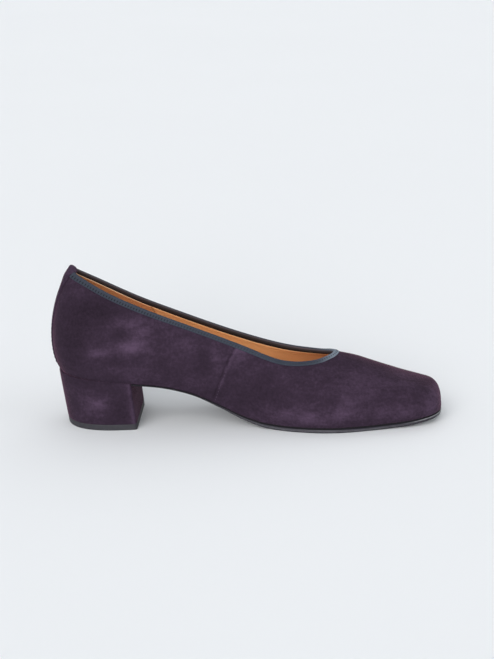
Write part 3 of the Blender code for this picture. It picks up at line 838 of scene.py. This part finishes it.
# Lift of a tape off the wall: full, but round like a quarter circle at its two edges, down to the least
def tapeLift(points, thickness, edge, least=0.35):
    run = runAlong(points)
    fromEdge = rise(np.minimum(run, run[-1:] - run), 0, edge)
    return thickness * (least + (1 - least) * np.sqrt(1 - (1 - fromEdge) ** 2))


# Topline binding: a ribbed tape folded over the rim, sewn on with slanted stitches
binding = {
    "margin": 4.6, "outside": 2.9, "inside": 2.9, "thickness": 0.66, "edge": 0.6, "under": 0.04,
    "heelExtra": 1.1, "heelX": -40.0, "heelRun": 50.0,     # how much wider it is at the heel, and where
    "outerSteps": 9, "turns": 7, "innerSteps": 7, "ribPitch": 0.95, "ribHeight": 0.03, "columnsPerRib": 4,
    "throatReach": 9.0, "crestSteps": 2.4,
}
# Its stitches, the pits that they pull in the tape, and where they start to wear and how far
tapeStitches = {
    "start": 1.9, "end": 3.0, "pitch": 1.9, "length": 0.9, "radius": 0.25, "inset": 1.4, "slant": 1.8,
    "pitReach": 1.05, "pitDepth": 0.12, "wornX": -85.0, "wornRun": 100.0, "wornMost": 0.92,
}


# Girth places at lengths along the tape, which starts a margin past the back seam, and its whole length
def tapeAt(along):
    run = runAlong(rimPoint(fineGirth))
    return np.interp(binding["margin"] + along, run, fineGirth), run[-1] - 2 * binding["margin"]


# Width of the tape's outer leg: even, but growing straight to its widest at the heel
def tapeWidth(at):
    heelward = rise(rimPoint(at)[..., 0], binding["heelX"], -binding["heelRun"])
    return binding["outside"] + binding["heelExtra"] * heelward


# How far the stitches are worn into the tape: not at all at the heel, and growing straight to the throat
def stitchWear(points):
    return tapeStitches["wornMost"] * rise(points[..., 0], tapeStitches["wornX"], tapeStitches["wornRun"])


# The tape's outer face over the topline and its under face back, as a loop carried along the topline
def makeBinding():
    length = tapeAt(0)[1]
    ribs = int(length / binding["ribPitch"])
    along = np.linspace(0, length, ribs * binding["columnsPerRib"] + 1)
    at = tapeAt(along)[0]
    widths = np.linspace(1, 0, binding["outerSteps"])
    outer = [(at, upAtDepth(at, width * tapeWidth(at))) for width in widths]
    inner = [(at, upAtDepth(at, raisedLip(at, depth)))
             for depth in np.linspace(0, binding["inside"], binding["innerSteps"])]
    base, square = overTopline(outer, binding["turns"], inner)
    rib = np.cos(tau * along / binding["ribPitch"])
    # pits round the stitches: bells across the tape, and along it powers of a cosine at the stitches' pitch
    widths = np.concatenate([widths, np.full(len(base) - len(widths), -1)])[:, None]
    across = (widths - 1) * tapeWidth(at) + tapeStitches["inset"]
    middles = tapeStitches["start"] + tapeStitches["length"] * (0.5 - across / tapeStitches["slant"])
    wave = np.cos(np.pi * (along - middles) / tapeStitches["pitch"]) ** 4
    pit = bell(across, tapeStitches["pitReach"]) * wave * (1 - stitchWear(base))
    lift = tapeLift(base, binding["thickness"], binding["edge"]) + binding["ribHeight"] * rib
    far = base + square * (lift - tapeStitches["pitDepth"] * pit)[..., None]
    near = (base + square * binding["under"])[::-1]
    loops = np.concatenate([far, near])
    ends = [np.broadcast_to(loops[:, end].mean(axis=0), (len(loops), 3))[:, None] for end in (0, -1)]
    loops = np.concatenate([ends[0], loops, ends[1]], axis=1)
    crest = binding["outerSteps"] + 0.5 * (binding["turns"] - 1)
    inside = np.clip((np.arange(len(base)) - crest) / binding["crestSteps"] + 0.5, 0, 1)
    fromThroat = loops[..., 0].max() - loops[..., 0]
    marks = {
        "pit": np.pad(np.concatenate([pit, 0 * pit]), ((0, 0), (1, 1))),
        "inside": np.concatenate([inside, inside[::-1]])[:, None],
        "rib": np.pad(0.5 + 0.5 * rib, 1),
        "throat": bell(fromThroat, binding["throatReach"]),
    }
    return addGrid("topline_binding", loops, finishes["binding"], True, False, marks)


# A strand of thread
strand = {"sides": 6, "steps": 6, "arch": 0.7}


# Strands with a round profile that swells from nothing to full and back, sunk at their ends by a sine, each
# carried along its own bit of a path as long as run; path(along) gives points and their square directions
def addStitches(name, path, run, stitches, finish, wear=None):
    sides, steps, radius = strand["sides"], strand["steps"], stitches["radius"]
    starts = np.arange(stitches["start"], run - stitches["end"], stitches["pitch"])
    t = np.linspace(0, 1, steps)
    place, square = path(starts[:, None] + t[None, :] * stitches["length"])
    ahead = unit(np.gradient(place, axis=1))
    across = unit(np.cross(ahead, square))
    swell = radius * np.sqrt(np.clip(1 - (2 * t - 1) ** 4, 0, 1))[None, :, None, None]
    middle = place + square * radius * strand["arch"] * (np.sin(np.pi * t)[None, :, None] - 1)
    turn = np.arange(sides) / sides * tau
    ring = np.cos(turn)[:, None] * across[:, :, None, :] + np.sin(turn)[:, None] * square[:, :, None, :]
    points = (middle[:, :, None, :] + swell * ring).reshape(-1, sides, 3)
    quads = gridQuads(steps, sides, False, True)
    every = (quads[None] + (np.arange(len(starts)) * steps * sides)[:, None, None]).reshape(-1, 4)
    return addPiece(name, points, every, finish, {"worn": wear(points)} if wear else None)


# A slanted stitch at every pitch along the tape's outer leg
def makeBindingStitches():
    def path(along):
        at = tapeAt(along)[0]
        slant = tapeStitches["slant"] * ((along - along[:, :1]) / tapeStitches["length"] - 0.5)
        up = upAtDepth(at, tapeWidth(at) - tapeStitches["inset"] - slant)
        return offWall(at, up, binding["thickness"])

    thread = finishes["slateThread"]
    return addStitches("binding_stitches", path, tapeAt(0)[1], tapeStitches, thread, stitchWear)


# Stitches of the side seam, along the vamp's lip
seamStitches = {
    "start": 0.0, "end": 1.5, "pitch": 2.3, "length": 1.5, "radius": 0.20, "fromSeam": 1.15,
    "foot": 0.04, "top": 0.93, "fineSteps": 300,
}


# A stitch at every pitch along a line beside the seam
def makeSeamStitches():
    heights = np.linspace(seamStitches["foot"], seamStitches["top"], seamStitches["fineSteps"])
    run = runAlong(wallPoint(seamAt(heights) + seamStitches["fromSeam"], heights))

    def path(along):
        up = np.interp(along, run, heights)
        return seamedWall(seamAt(up) + seamStitches["fromSeam"], up)

    return addStitches("side_seam_stitches", path, run[-1], seamStitches, finishes["suedeThread"])


# Back strip: suede over the back seam, folded over the topline, with a stitch row along each edge
backStrip = {
    "thickness": 0.85, "edge": 1.5, "under": 0.04, "widthFoot": 14.0, "widthTop": 11.0, "inside": 8.0,
    "columns": 35, "rowsOut": 72, "turns": 9, "rowsIn": 18, "reachSteps": 600,
    # thinness at the foot and the length over which it thickens; the fold's bead; the inner leg's lift
    "lowest": 0.004, "skived": 0.45, "taper": 8.0, "bead": 0.95, "beadReach": 2.8, "beadIn": 1.3,
    "legLift": 0.24, "legRun": 2.5, "pad": 0.95, "padBelow": 6.0, "padReach": 5.5,
    # a tone lift for the strip's nap, and a painted highlight along the fold's bead
    "nap": 0.10, "foldHighlight": 0.30,
}
# Its stitches; they ride on a share of its padding
stripStitches = {
    "start": 0.8, "end": 2.5, "pitch": 2.7, "length": 1.8, "radius": 0.17, "inset": 1.5,
    "foot": 0.06, "top": 0.985, "fineSteps": 400, "padShare": 0.45,
}


# Girth to either side of the back seam at which a strip over it has the given width
def stripReach(up, width):
    reach = np.linspace(0, last["ballWidth"] / 2, backStrip["reachSteps"])
    across = np.linalg.norm(wallPoint(reach, up) - wallPoint(-reach, up), axis=-1)
    return np.interp(width, across, reach)


# Width of the strip, straight from its foot to its top
def stripWidth(up):
    return backStrip["widthFoot"] + (backStrip["widthTop"] - backStrip["widthFoot"]) * up


# Padding under the strip: a bell a little below its fold
def stripPad(fold):
    return backStrip["pad"] * bell(fold + backStrip["padBelow"], backStrip["padReach"])


# The strip's outer face and its under face, as a loop across it carried up and over the topline
def makeBackStrip():
    across = np.linspace(-1, 1, backStrip["columns"])
    outerUps = np.linspace(backStrip["lowest"], 1, backStrip["rowsOut"])
    innerUps = upAtDepth(np.zeros(1), np.linspace(0, backStrip["inside"], backStrip["rowsIn"]))
    outer = [(across * stripReach(up, stripWidth(up)), np.full(across.shape, up)) for up in outerUps]
    inner = [(across * stripReach(up, backStrip["widthTop"]), np.full(across.shape, up)) for up in innerUps]
    base, square = overTopline(outer, backStrip["turns"], inner)
    edges = tapeLift(np.moveaxis(base, 1, 0), backStrip["thickness"], backStrip["edge"]).T
    ends = tapeLift(base, 1.0, backStrip["edge"])
    run = runAlong(base)
    fold = run - run[len(outer) + backStrip["turns"] // 2]
    # skived thin at the foot, swollen at the fold, and its inner leg lies over the lining's heel grip
    body = backStrip["skived"] + (1 - backStrip["skived"]) * rise(run, 0, backStrip["taper"])
    bead = bell(fold - backStrip["beadIn"], backStrip["beadReach"])
    body = body + backStrip["bead"] * bead + stripPad(fold) * (1 - across ** 2)
    leg = backStrip["legLift"] * rise(fold, 0, backStrip["legRun"])
    far = base + square * (edges * ends * body + leg)[..., None]
    near = (base + square * backStrip["under"])[:, ::-1]
    loops = np.concatenate([far, near], axis=1)
    loops = closedEnds(loops, np.arange(loops.shape[1])[::-1])
    # painted highlight along the fold's bead
    rubbed = np.pad(np.concatenate([bead, bead[:, ::-1]], axis=1), ((1, 1), (0, 0)), mode="edge")
    nap = napAndShadingAt(loops) + backStrip["nap"] + backStrip["foldHighlight"] * rubbed
    return addGrid("back_strip", loops, finishes["upper"], False, True, {"nap": nap})


# A stitch at every pitch along a line inside each edge of the strip
def makeStripStitches():
    heights = np.linspace(stripStitches["foot"], stripStitches["top"], stripStitches["fineSteps"])
    reach = np.array([stripReach(up, stripWidth(up) - 2 * stripStitches["inset"]) for up in heights])
    pieces = []
    for side, edge in ((-1, "inner"), (1, "outer")):
        run = runAlong(wallPoint(side * reach, heights))

        def path(along, side=side, run=run):
            up = np.interp(along, run, heights)
            at = side * np.interp(along, run, reach)
            lift = backStrip["thickness"] * (1 + stripPad(along - run[-1]) * stripStitches["padShare"])
            return offWall(at, up, lift)

        name = "back_strip_stitches_" + edge
        pieces.append(addStitches(name, path, run[-1], stripStitches, finishes["suedeThread"]))
    return pieces


# A plate as loops across it, one for each pair of girth places: up the inner edge's profile, over the top,
# down the outer edge's and back underneath, and each point's mirror partner; height(x, level) gives z
def plateLoops(inner, outer, profile, height, across, crown=None):
    insets, levels = np.array(profile).T

    # the profile at each girth place, taken in from the feather edge
    def edge(at):
        plan = featherPlan(at)[:, None, :] - insets[:, None] * outwardPlan(at)[:, None, :]
        return lifted(plan, height(plan[..., 0], levels))

    near, far = edge(inner), edge(outer)
    share = np.linspace(0, 1, across + 2)[1:-1][:, None]

    # even steps straight across in plan, at the height of one level
    def bridge(start, end, level, lift):
        points = start[:, None, :] * (1 - share) + end[:, None, :] * share
        return lifted(points[..., :2], height(points[..., 0], np.full(across, level)) + lift)

    lift = 0.0 if crown is None else crown(2 * share[:, 0] - 1)
    top = bridge(near[:, -1], far[:, -1], levels[-1], lift)
    bottom = bridge(far[:, 0], near[:, 0], levels[0], 0.0)
    loops = np.concatenate([near, top, far[:, ::-1], bottom], axis=1)
    order, under = np.arange(loops.shape[1]), loops.shape[1] - across
    return loops, np.concatenate([order[:under][::-1], order[under:][::-1]])


# Covered insole: its edge leans out to the lining and rolls over into the footbed
insole = {
    "columns": 200, "across": 22, "cup": 0.35, "cupLevel": 0.25, "cupPower": 4, "edgePower": 8,
    # inset from the feather edge and height over it
    "profile": [(2.3, 0.05), (2.0, 0.4), (1.3, 1.9), (1.12, 2.3), (1.1, 2.55), (1.25, 2.78), (1.6, 2.86),
                (2.1, 2.80), (2.8, 2.68)],
}


# A plate over the feather edge, cupped by a power of the distance from its middle line
def makeInsole():
    inner, outer = sidePairs(backX, toeX, insole["columns"])

    def overFeather(x, level):
        return featherHeight(x) + level

    def cup(v):
        return insole["cup"] * (v ** insole["cupPower"] - insole["cupLevel"])

    loops = plateLoops(inner, outer, insole["profile"], overFeather, insole["across"], cup)[0]
    side = np.ones(len(insole["profile"]))
    bed = np.abs(np.linspace(-1, 1, insole["across"])) ** insole["edgePower"]
    edge = np.concatenate([side, bed, side, np.zeros(insole["across"])])
    return addGrid("insole", loops, finishes["insole"], False, True, {"edge": edge})


# Outsole: round tread corner, full band, a groove under the upper's hem and a narrow lip
outsole = {
    "columns": 240, "across": 10, "breastStation": 0.205,
    # inset from the feather edge and share of the thickness
    "profile": [(1.6, 0.0), (0.75, 0.0), (0.46, 0.03), (0.22, 0.09), (0.06, 0.17), (0.0, 0.26),
                (-0.07, 0.36), (-0.10, 0.46), (-0.07, 0.56), (0.0, 0.63), (0.10, 0.67), (0.46, 0.70),
                (0.62, 0.735), (0.66, 0.78), (0.62, 0.83), (0.60, 0.89), (0.62, 0.95), (0.72, 0.995),
                (1.2, 1.0)],
    # level where the recess and its painted shade start; where the painted shade of the waist's edge
    # starts, and over how far
    "recessFrom": 0.69, "waistX": 10.0, "waistRun": 40.0, "waistShade": 0.8,
    # the painted highlight line's level on the band and its half width, and where it runs out at the toe
    "highlightLevel": 0.36, "highlightReach": 0.12, "highlightEnd": 112.0, "highlightRun": 30.0, "highlightLeast": 0.06, "highlightGain": 0.5,
    # the painted glint on the band's upper corner, its half width, where it starts and over how far
    "toeLevel": 0.63, "toeReach": 0.06, "toeX": 96.0, "toeRun": 14.0, "toeGain": 1.7,
}


# A plate from the heel's breast to the toe, with its painted highlights and the painted shade of its
# recess as marks
def makeOutsole():
    breast = xAt(outsole["breastStation"]) + last["soleGap"]
    inner, outer = sidePairs(breast, toeX, outsole["columns"])
    loops, partner = plateLoops(inner, outer, outsole["profile"], soleHeight, outsole["across"])
    loops = closedEnds(loops, partner)[:-1]     # the toe comes to a point by itself
    x = loops[..., 0]
    levels = np.array(outsole["profile"])[:, 1]
    nothing = np.zeros(outsole["across"])

    # one value for each point of a loop: both edges alike, the top, and nothing underneath
    def allRound(edge, top):
        return np.concatenate([edge, top, edge[::-1], nothing])

    highlightLine = allRound(bell(levels - outsole["highlightLevel"], outsole["highlightReach"]), nothing)
    toeGlint = allRound(bell(levels - outsole["toeLevel"], outsole["toeReach"]), nothing)
    recess = allRound(levels > outsole["recessFrom"], nothing + 1)
    waist = outsole["waistShade"] * rise(x, outsole["waistX"], -outsole["waistRun"])
    runOut = np.maximum(rise(x, outsole["highlightEnd"], -outsole["highlightRun"]), outsole["highlightLeast"]) * (1 - waist)
    toeward = rise(x, outsole["toeX"], outsole["toeRun"])
    marks = {
        "recess": np.maximum(recess, waist),
        "rub": outsole["highlightGain"] * highlightLine * runOut + outsole["toeGain"] * toeGlint * toeward,
    }
    return addGrid("outsole", loops, finishes["sole"], False, True, marks, True)


# Heel: a round-backed block with a flat breast, drawn in to its foot
heel = {
    "breastStation": 0.205, "breastFootStation": 0.216, "footBackStation": 0.0327, "footWidth": 0.97,
    "ledge": 0.9, "corner": 2.0, "topPiece": 3.8, "coverGap": 0.05,
    "sideColumns": 96, "crowding": 0.3, "cornerSteps": 8, "breastSteps": 26,
    # where the groove under the upper closes, over how far, and what is left of it and of the ledge there
    "grooveEnd": -84.0, "grooveRun": 24.0, "grooveLeast": 0.05, "ledgeLeast": 0.3,
    # painted highlight along the breast's corners and its reach in columns; painted shade on the breast
    "cornerHighlight": 0.26, "cornerReach": 4.0, "breastShade": 0.55,
    # share of the height from foot to seat, and how far the cover's edge is drawn in there, in mm
    "blockProfile": [(0.0, 0.45), (0.004, 0.22), (0.012, 0.08), (0.03, 0.0), (0.15, -0.04), (0.3, -0.06),
                     (0.45, -0.06), (0.6, -0.06), (0.75, -0.05), (0.87, -0.03), (0.94, 0.0), (0.972, 0.07),
                     (0.99, 0.24), (1.0, 0.52)],
    "topPieceProfile": [(0.0, 0.5), (0.03, 0.28), (0.10, 0.10), (0.2, 0.02), (0.35, 0.0), (0.65, 0.0),
                        (0.86, 0.02), (0.95, 0.10), (1.0, 0.26)],
}


# How open the groove under the upper is: 1 at the back, 0 from a little behind the breast
def grooveShare(x):
    return rise(x, heel["grooveEnd"], -heel["grooveRun"])


# Outline of the seat, taken in by inset: inner side from back to breast, a quarter-ellipse corner,
# the breast, the other corner, and the outer side back; column k and column -k face each other
def heelOutline(inset):
    breast = xAt(heel["breastStation"])
    inner, outer = sidePairs(backX, breast - heel["corner"], heel["sideColumns"], heel["crowding"])
    cornerIn, cornerOut = sidePairs(breast, breast, 1)

    # the feather edge in plan, taken in square to itself
    def taken(at, by):
        return featherPlan(at) - outwardPlan(at) * by

    opened = grooveShare(featherPlan(inner)[:, :1])
    ledge = heel["ledge"] * (heel["ledgeLeast"] + (1 - heel["ledgeLeast"]) * opened)
    innerSide, outerSide = taken(inner, inset - ledge), taken(outer, inset - ledge)
    breastX = breast - inset
    turn = np.linspace(0, np.pi / 2, heel["cornerSteps"] + 1)[1:, None]

    # quarter ellipse from the side's last point to the breast, with its middle square to both
    def corner(side, breastY):
        toBreast = np.array([breastX - side[0], 0])
        toSide = np.array([0, side[1] - breastY])
        return np.array([side[0], breastY]) + np.sin(turn) * toBreast + np.cos(turn) * toSide

    first = corner(innerSide[-1], taken(cornerIn, heel["corner"] + inset)[0, 1])
    final = corner(outerSide[-1], taken(cornerOut, heel["corner"] + inset)[0, 1])[::-1]
    across = np.linspace(0, 1, heel["breastSteps"] + 2)[1:-1, None]
    breastLine = first[-1] * (1 - across) + final[0] * across
    return np.concatenate([innerSide, first, breastLine, final, outerSide[:0:-1]])


# The seat's outline moved to a share of the heel's height: its length and width shrink to the foot's
def heelRing(share, inset):
    seat = heelOutline(inset)
    breast = xAt(heel["breastStation"])
    footBack, footBreast = xAt(heel["footBackStation"]), xAt(heel["breastFootStation"])
    footX = footBack + (seat[:, 0] - backX) / (breast - backX) * (footBreast - footBack)
    x = share * seat[:, 0] + (1 - share) * footX
    y = seat[:, 1] * (share + (1 - share) * heel["footWidth"])
    return np.stack([x, y], axis=1)


# A ring whose inset is full at the back and dwindles towards the breast, so that the groove closes there
def openRing(share, inset):
    full, least = heelRing(share, inset), heelRing(share, heel["grooveLeast"] * inset)
    return least + (full - least) * grooveShare(full[:, :1])


# Rings between two heights, bent evenly from the lower one's level to the upper one's
def heelStack(profile, lowZ, highZ, lowShare, highShare):
    rings = []
    for level, inset in profile:
        low, high = openRing(lowShare, inset), openRing(highShare, inset)
        bottom, top = lifted(low, lowZ(low[:, 0])), lifted(high, highZ(high[:, 0]))
        rings.append(bottom + (top - bottom) * level)
    rings = np.stack(rings)
    return closedEnds(rings, -np.arange(rings.shape[1]))


# A level plane at height z
def flatAt(z):
    return lambda x: np.full(np.shape(x), z)


# Height of the heel's seat: under the upper by the sole's gap at the back, close to it at the breast
def seatAt(x):
    return featherHeight(x) - last["soleGap"] * grooveShare(x)


# The covered block, with a painted highlight along its breast's corners and painted shade on the breast,
# and the rubber piece under it
def makeHeel():
    footZ = heel["topPiece"] + heel["coverGap"]
    rows = heelStack(heel["blockProfile"], flatAt(footZ), seatAt, footZ / last["heelLift"], 1)
    column = np.arange(rows.shape[1])
    toBreast = heel["sideColumns"] + heel["cornerSteps"]
    pastBreast = toBreast + heel["breastSteps"]
    breast = (column >= toBreast) & (column < pastBreast)
    fromCorner = np.minimum(np.abs(column - toBreast), np.abs(column - pastBreast))
    # painted highlight along the corners beside the breast
    corner = heel["cornerHighlight"] * bell(fromCorner - heel["cornerSteps"], heel["cornerReach"])
    height = np.clip(rows[..., 2] / last["heelLift"], 0, 1)
    # painted shade on the breast, darkest at its top under the upper
    nap = napAndShadingAt(rows) + corner * ~breast - heel["breastShade"] * breast * height ** 2
    block = addGrid("heel_block", rows, finishes["upper"], False, True, {"nap": nap}, True)
    topShare = heel["topPiece"] / last["heelLift"]
    rows = heelStack(heel["topPieceProfile"], flatAt(0.0), flatAt(heel["topPiece"]), 0, topShare)
    piece = addGrid("heel_top_piece", rows, finishes["topPiece"], False, True, None, True)
    return block, piece


settle(makeUpper(), "suede", "upper")
settle(makeLining(), "insole_leather")
settle(makeBinding(), "binding", "topline_binding")
settle(makeBindingStitches(), "binding")
settle(makeSeamStitches(), "suede")
settle(makeBackStrip(), "suede", "back_strip")
for stitches in makeStripStitches():
    settle(stitches, "suede")
settle(makeInsole(), "insole_leather", "insole")
settle(makeOutsole(), "sole_rubber", "outsole")
heelBlock, heelTopPiece = makeHeel()
settle(heelBlock, "suede", "heel_block")
settle(heelTopPiece, "top_piece_rubber", "heel_top_piece")
print("shoe dressed")

# Camera at the photograph's angle, from its fitted azimuth, elevation, roll and distance
camera = {
    "azimuth": 2.3, "elevation": 15.5, "roll": -1.65, "distance": 1.1, "target": (0.0005, 0.0, 0.0575),
    "metresPerPixel": 0.000636, "longSide": 659, "sensor": 36.0, "clipEnd": 100,
}


# The direction of view from its two angles; the axes across it are turned by the roll
def makeCamera():
    azimuth, elevation, roll = np.radians([camera["azimuth"], camera["elevation"], camera["roll"]])
    ahead = np.cos(elevation)
    look = Vector((-np.sin(azimuth) * ahead, np.cos(azimuth) * ahead, -np.sin(elevation)))
    level = look.cross(Vector((0, 0, 1))).normalized()
    upright = level.cross(look)
    right = np.cos(roll) * level + np.sin(roll) * upright
    above = np.cos(roll) * upright - np.sin(roll) * level
    data = bpy.data.cameras.new("camera")
    data.sensor_width = camera["sensor"]
    data.lens = camera["sensor"] * camera["distance"] / (camera["longSide"] * camera["metresPerPixel"])
    data.clip_end = camera["clipEnd"]
    made = bpy.data.objects.new("camera", data)
    turned = Matrix((right, above, -look)).transposed().to_4x4()
    made.matrix_world = Matrix.Translation(Vector(camera["target"]) - look * camera["distance"]) @ turned
    bpy.context.scene.collection.objects.link(made)
    bpy.context.scene.camera = made


# Studio: a wide pale floor, a surround that meets it in its own tone and four broad, soft lights
studio = {
    "floorReach": 30.0, "floor": (0.835, 0.856, 0.877), "floorLight": (0.8517, 0.87312, 0.89454),
    "floorGrain": (400.0, 2, 0.5), "floorRough": 0.85, "sockets": {"Specular IOR Level": 0.2},
    # height of the direction, 0 level and 1 straight up, and the surround's colour there
    "surround": [(0.0, (0.844, 0.873, 0.907)), (0.2, (0.80, 0.825, 0.85)), (0.6, (0.42, 0.43, 0.44)),
                 (1.0, (0.40, 0.41, 0.42))],
    # name: direction that it shines from, strength, spread in degrees, colour
    "lights": {
        "key": ((-0.35, -0.85, 0.55), 1.60, 40.0, (1.0, 0.98, 0.97)),
        "front": ((-0.05, -1.00, 0.17), 1.60, 24.0, (1.0, 0.99, 0.98)),
        "top": ((0.15, 0.75, 0.80), 0.55, 60.0, (0.98, 0.99, 1.0)),
        "toe": ((0.95, -0.40, 0.35), 0.45, 50.0, (0.97, 0.98, 1.0)),
    },
}


# Painted floor, a surround graded by the height of the direction, and a sun for each light
def makeStudio():
    finish = newFinish("studio_floor", studio)
    colour = finish.mix(0.5 + finish.noise("floorGrain"), "floor", "floorLight")
    paint = finish.surface(colour, studio["floorRough"])
    reach = studio["floorReach"] / mm * np.array([-1.0, 1.0])
    corners = np.stack([*np.meshgrid(reach, reach), np.zeros((2, 2))], axis=-1)
    floor = addGrid("studio_floor", corners, paint)
    surround = Finish(bpy.data.worlds.new("studio_surround"), studio)
    direction = surround.node("ShaderNodeTexCoord", out="Generated")
    height = surround.node("ShaderNodeSeparateXYZ", None, {0: direction}, out="Z")
    glow = surround.node("ShaderNodeBackground", None, {"Color": surround.ramp(height, studio["surround"])})
    surround.node("ShaderNodeOutputWorld", None, {"Surface": glow})
    bpy.context.scene.world = surround.owner
    for name, (shinesFrom, strength, spread, tint) in studio["lights"].items():
        data = bpy.data.lights.new(name + "_light", "SUN")
        data.energy, data.angle, data.color = strength, np.radians(spread), tint
        light = bpy.data.objects.new(name + "_light", data)
        light.location = shinesFrom
        light.rotation_euler = Vector(shinesFrom).to_track_quat("Z", "Y").to_euler()
        bpy.context.scene.collection.objects.link(light)
    bpy.context.scene.view_settings.view_transform = "Standard"


makeCamera()
makeStudio()
bpy.context.view_layer.update()
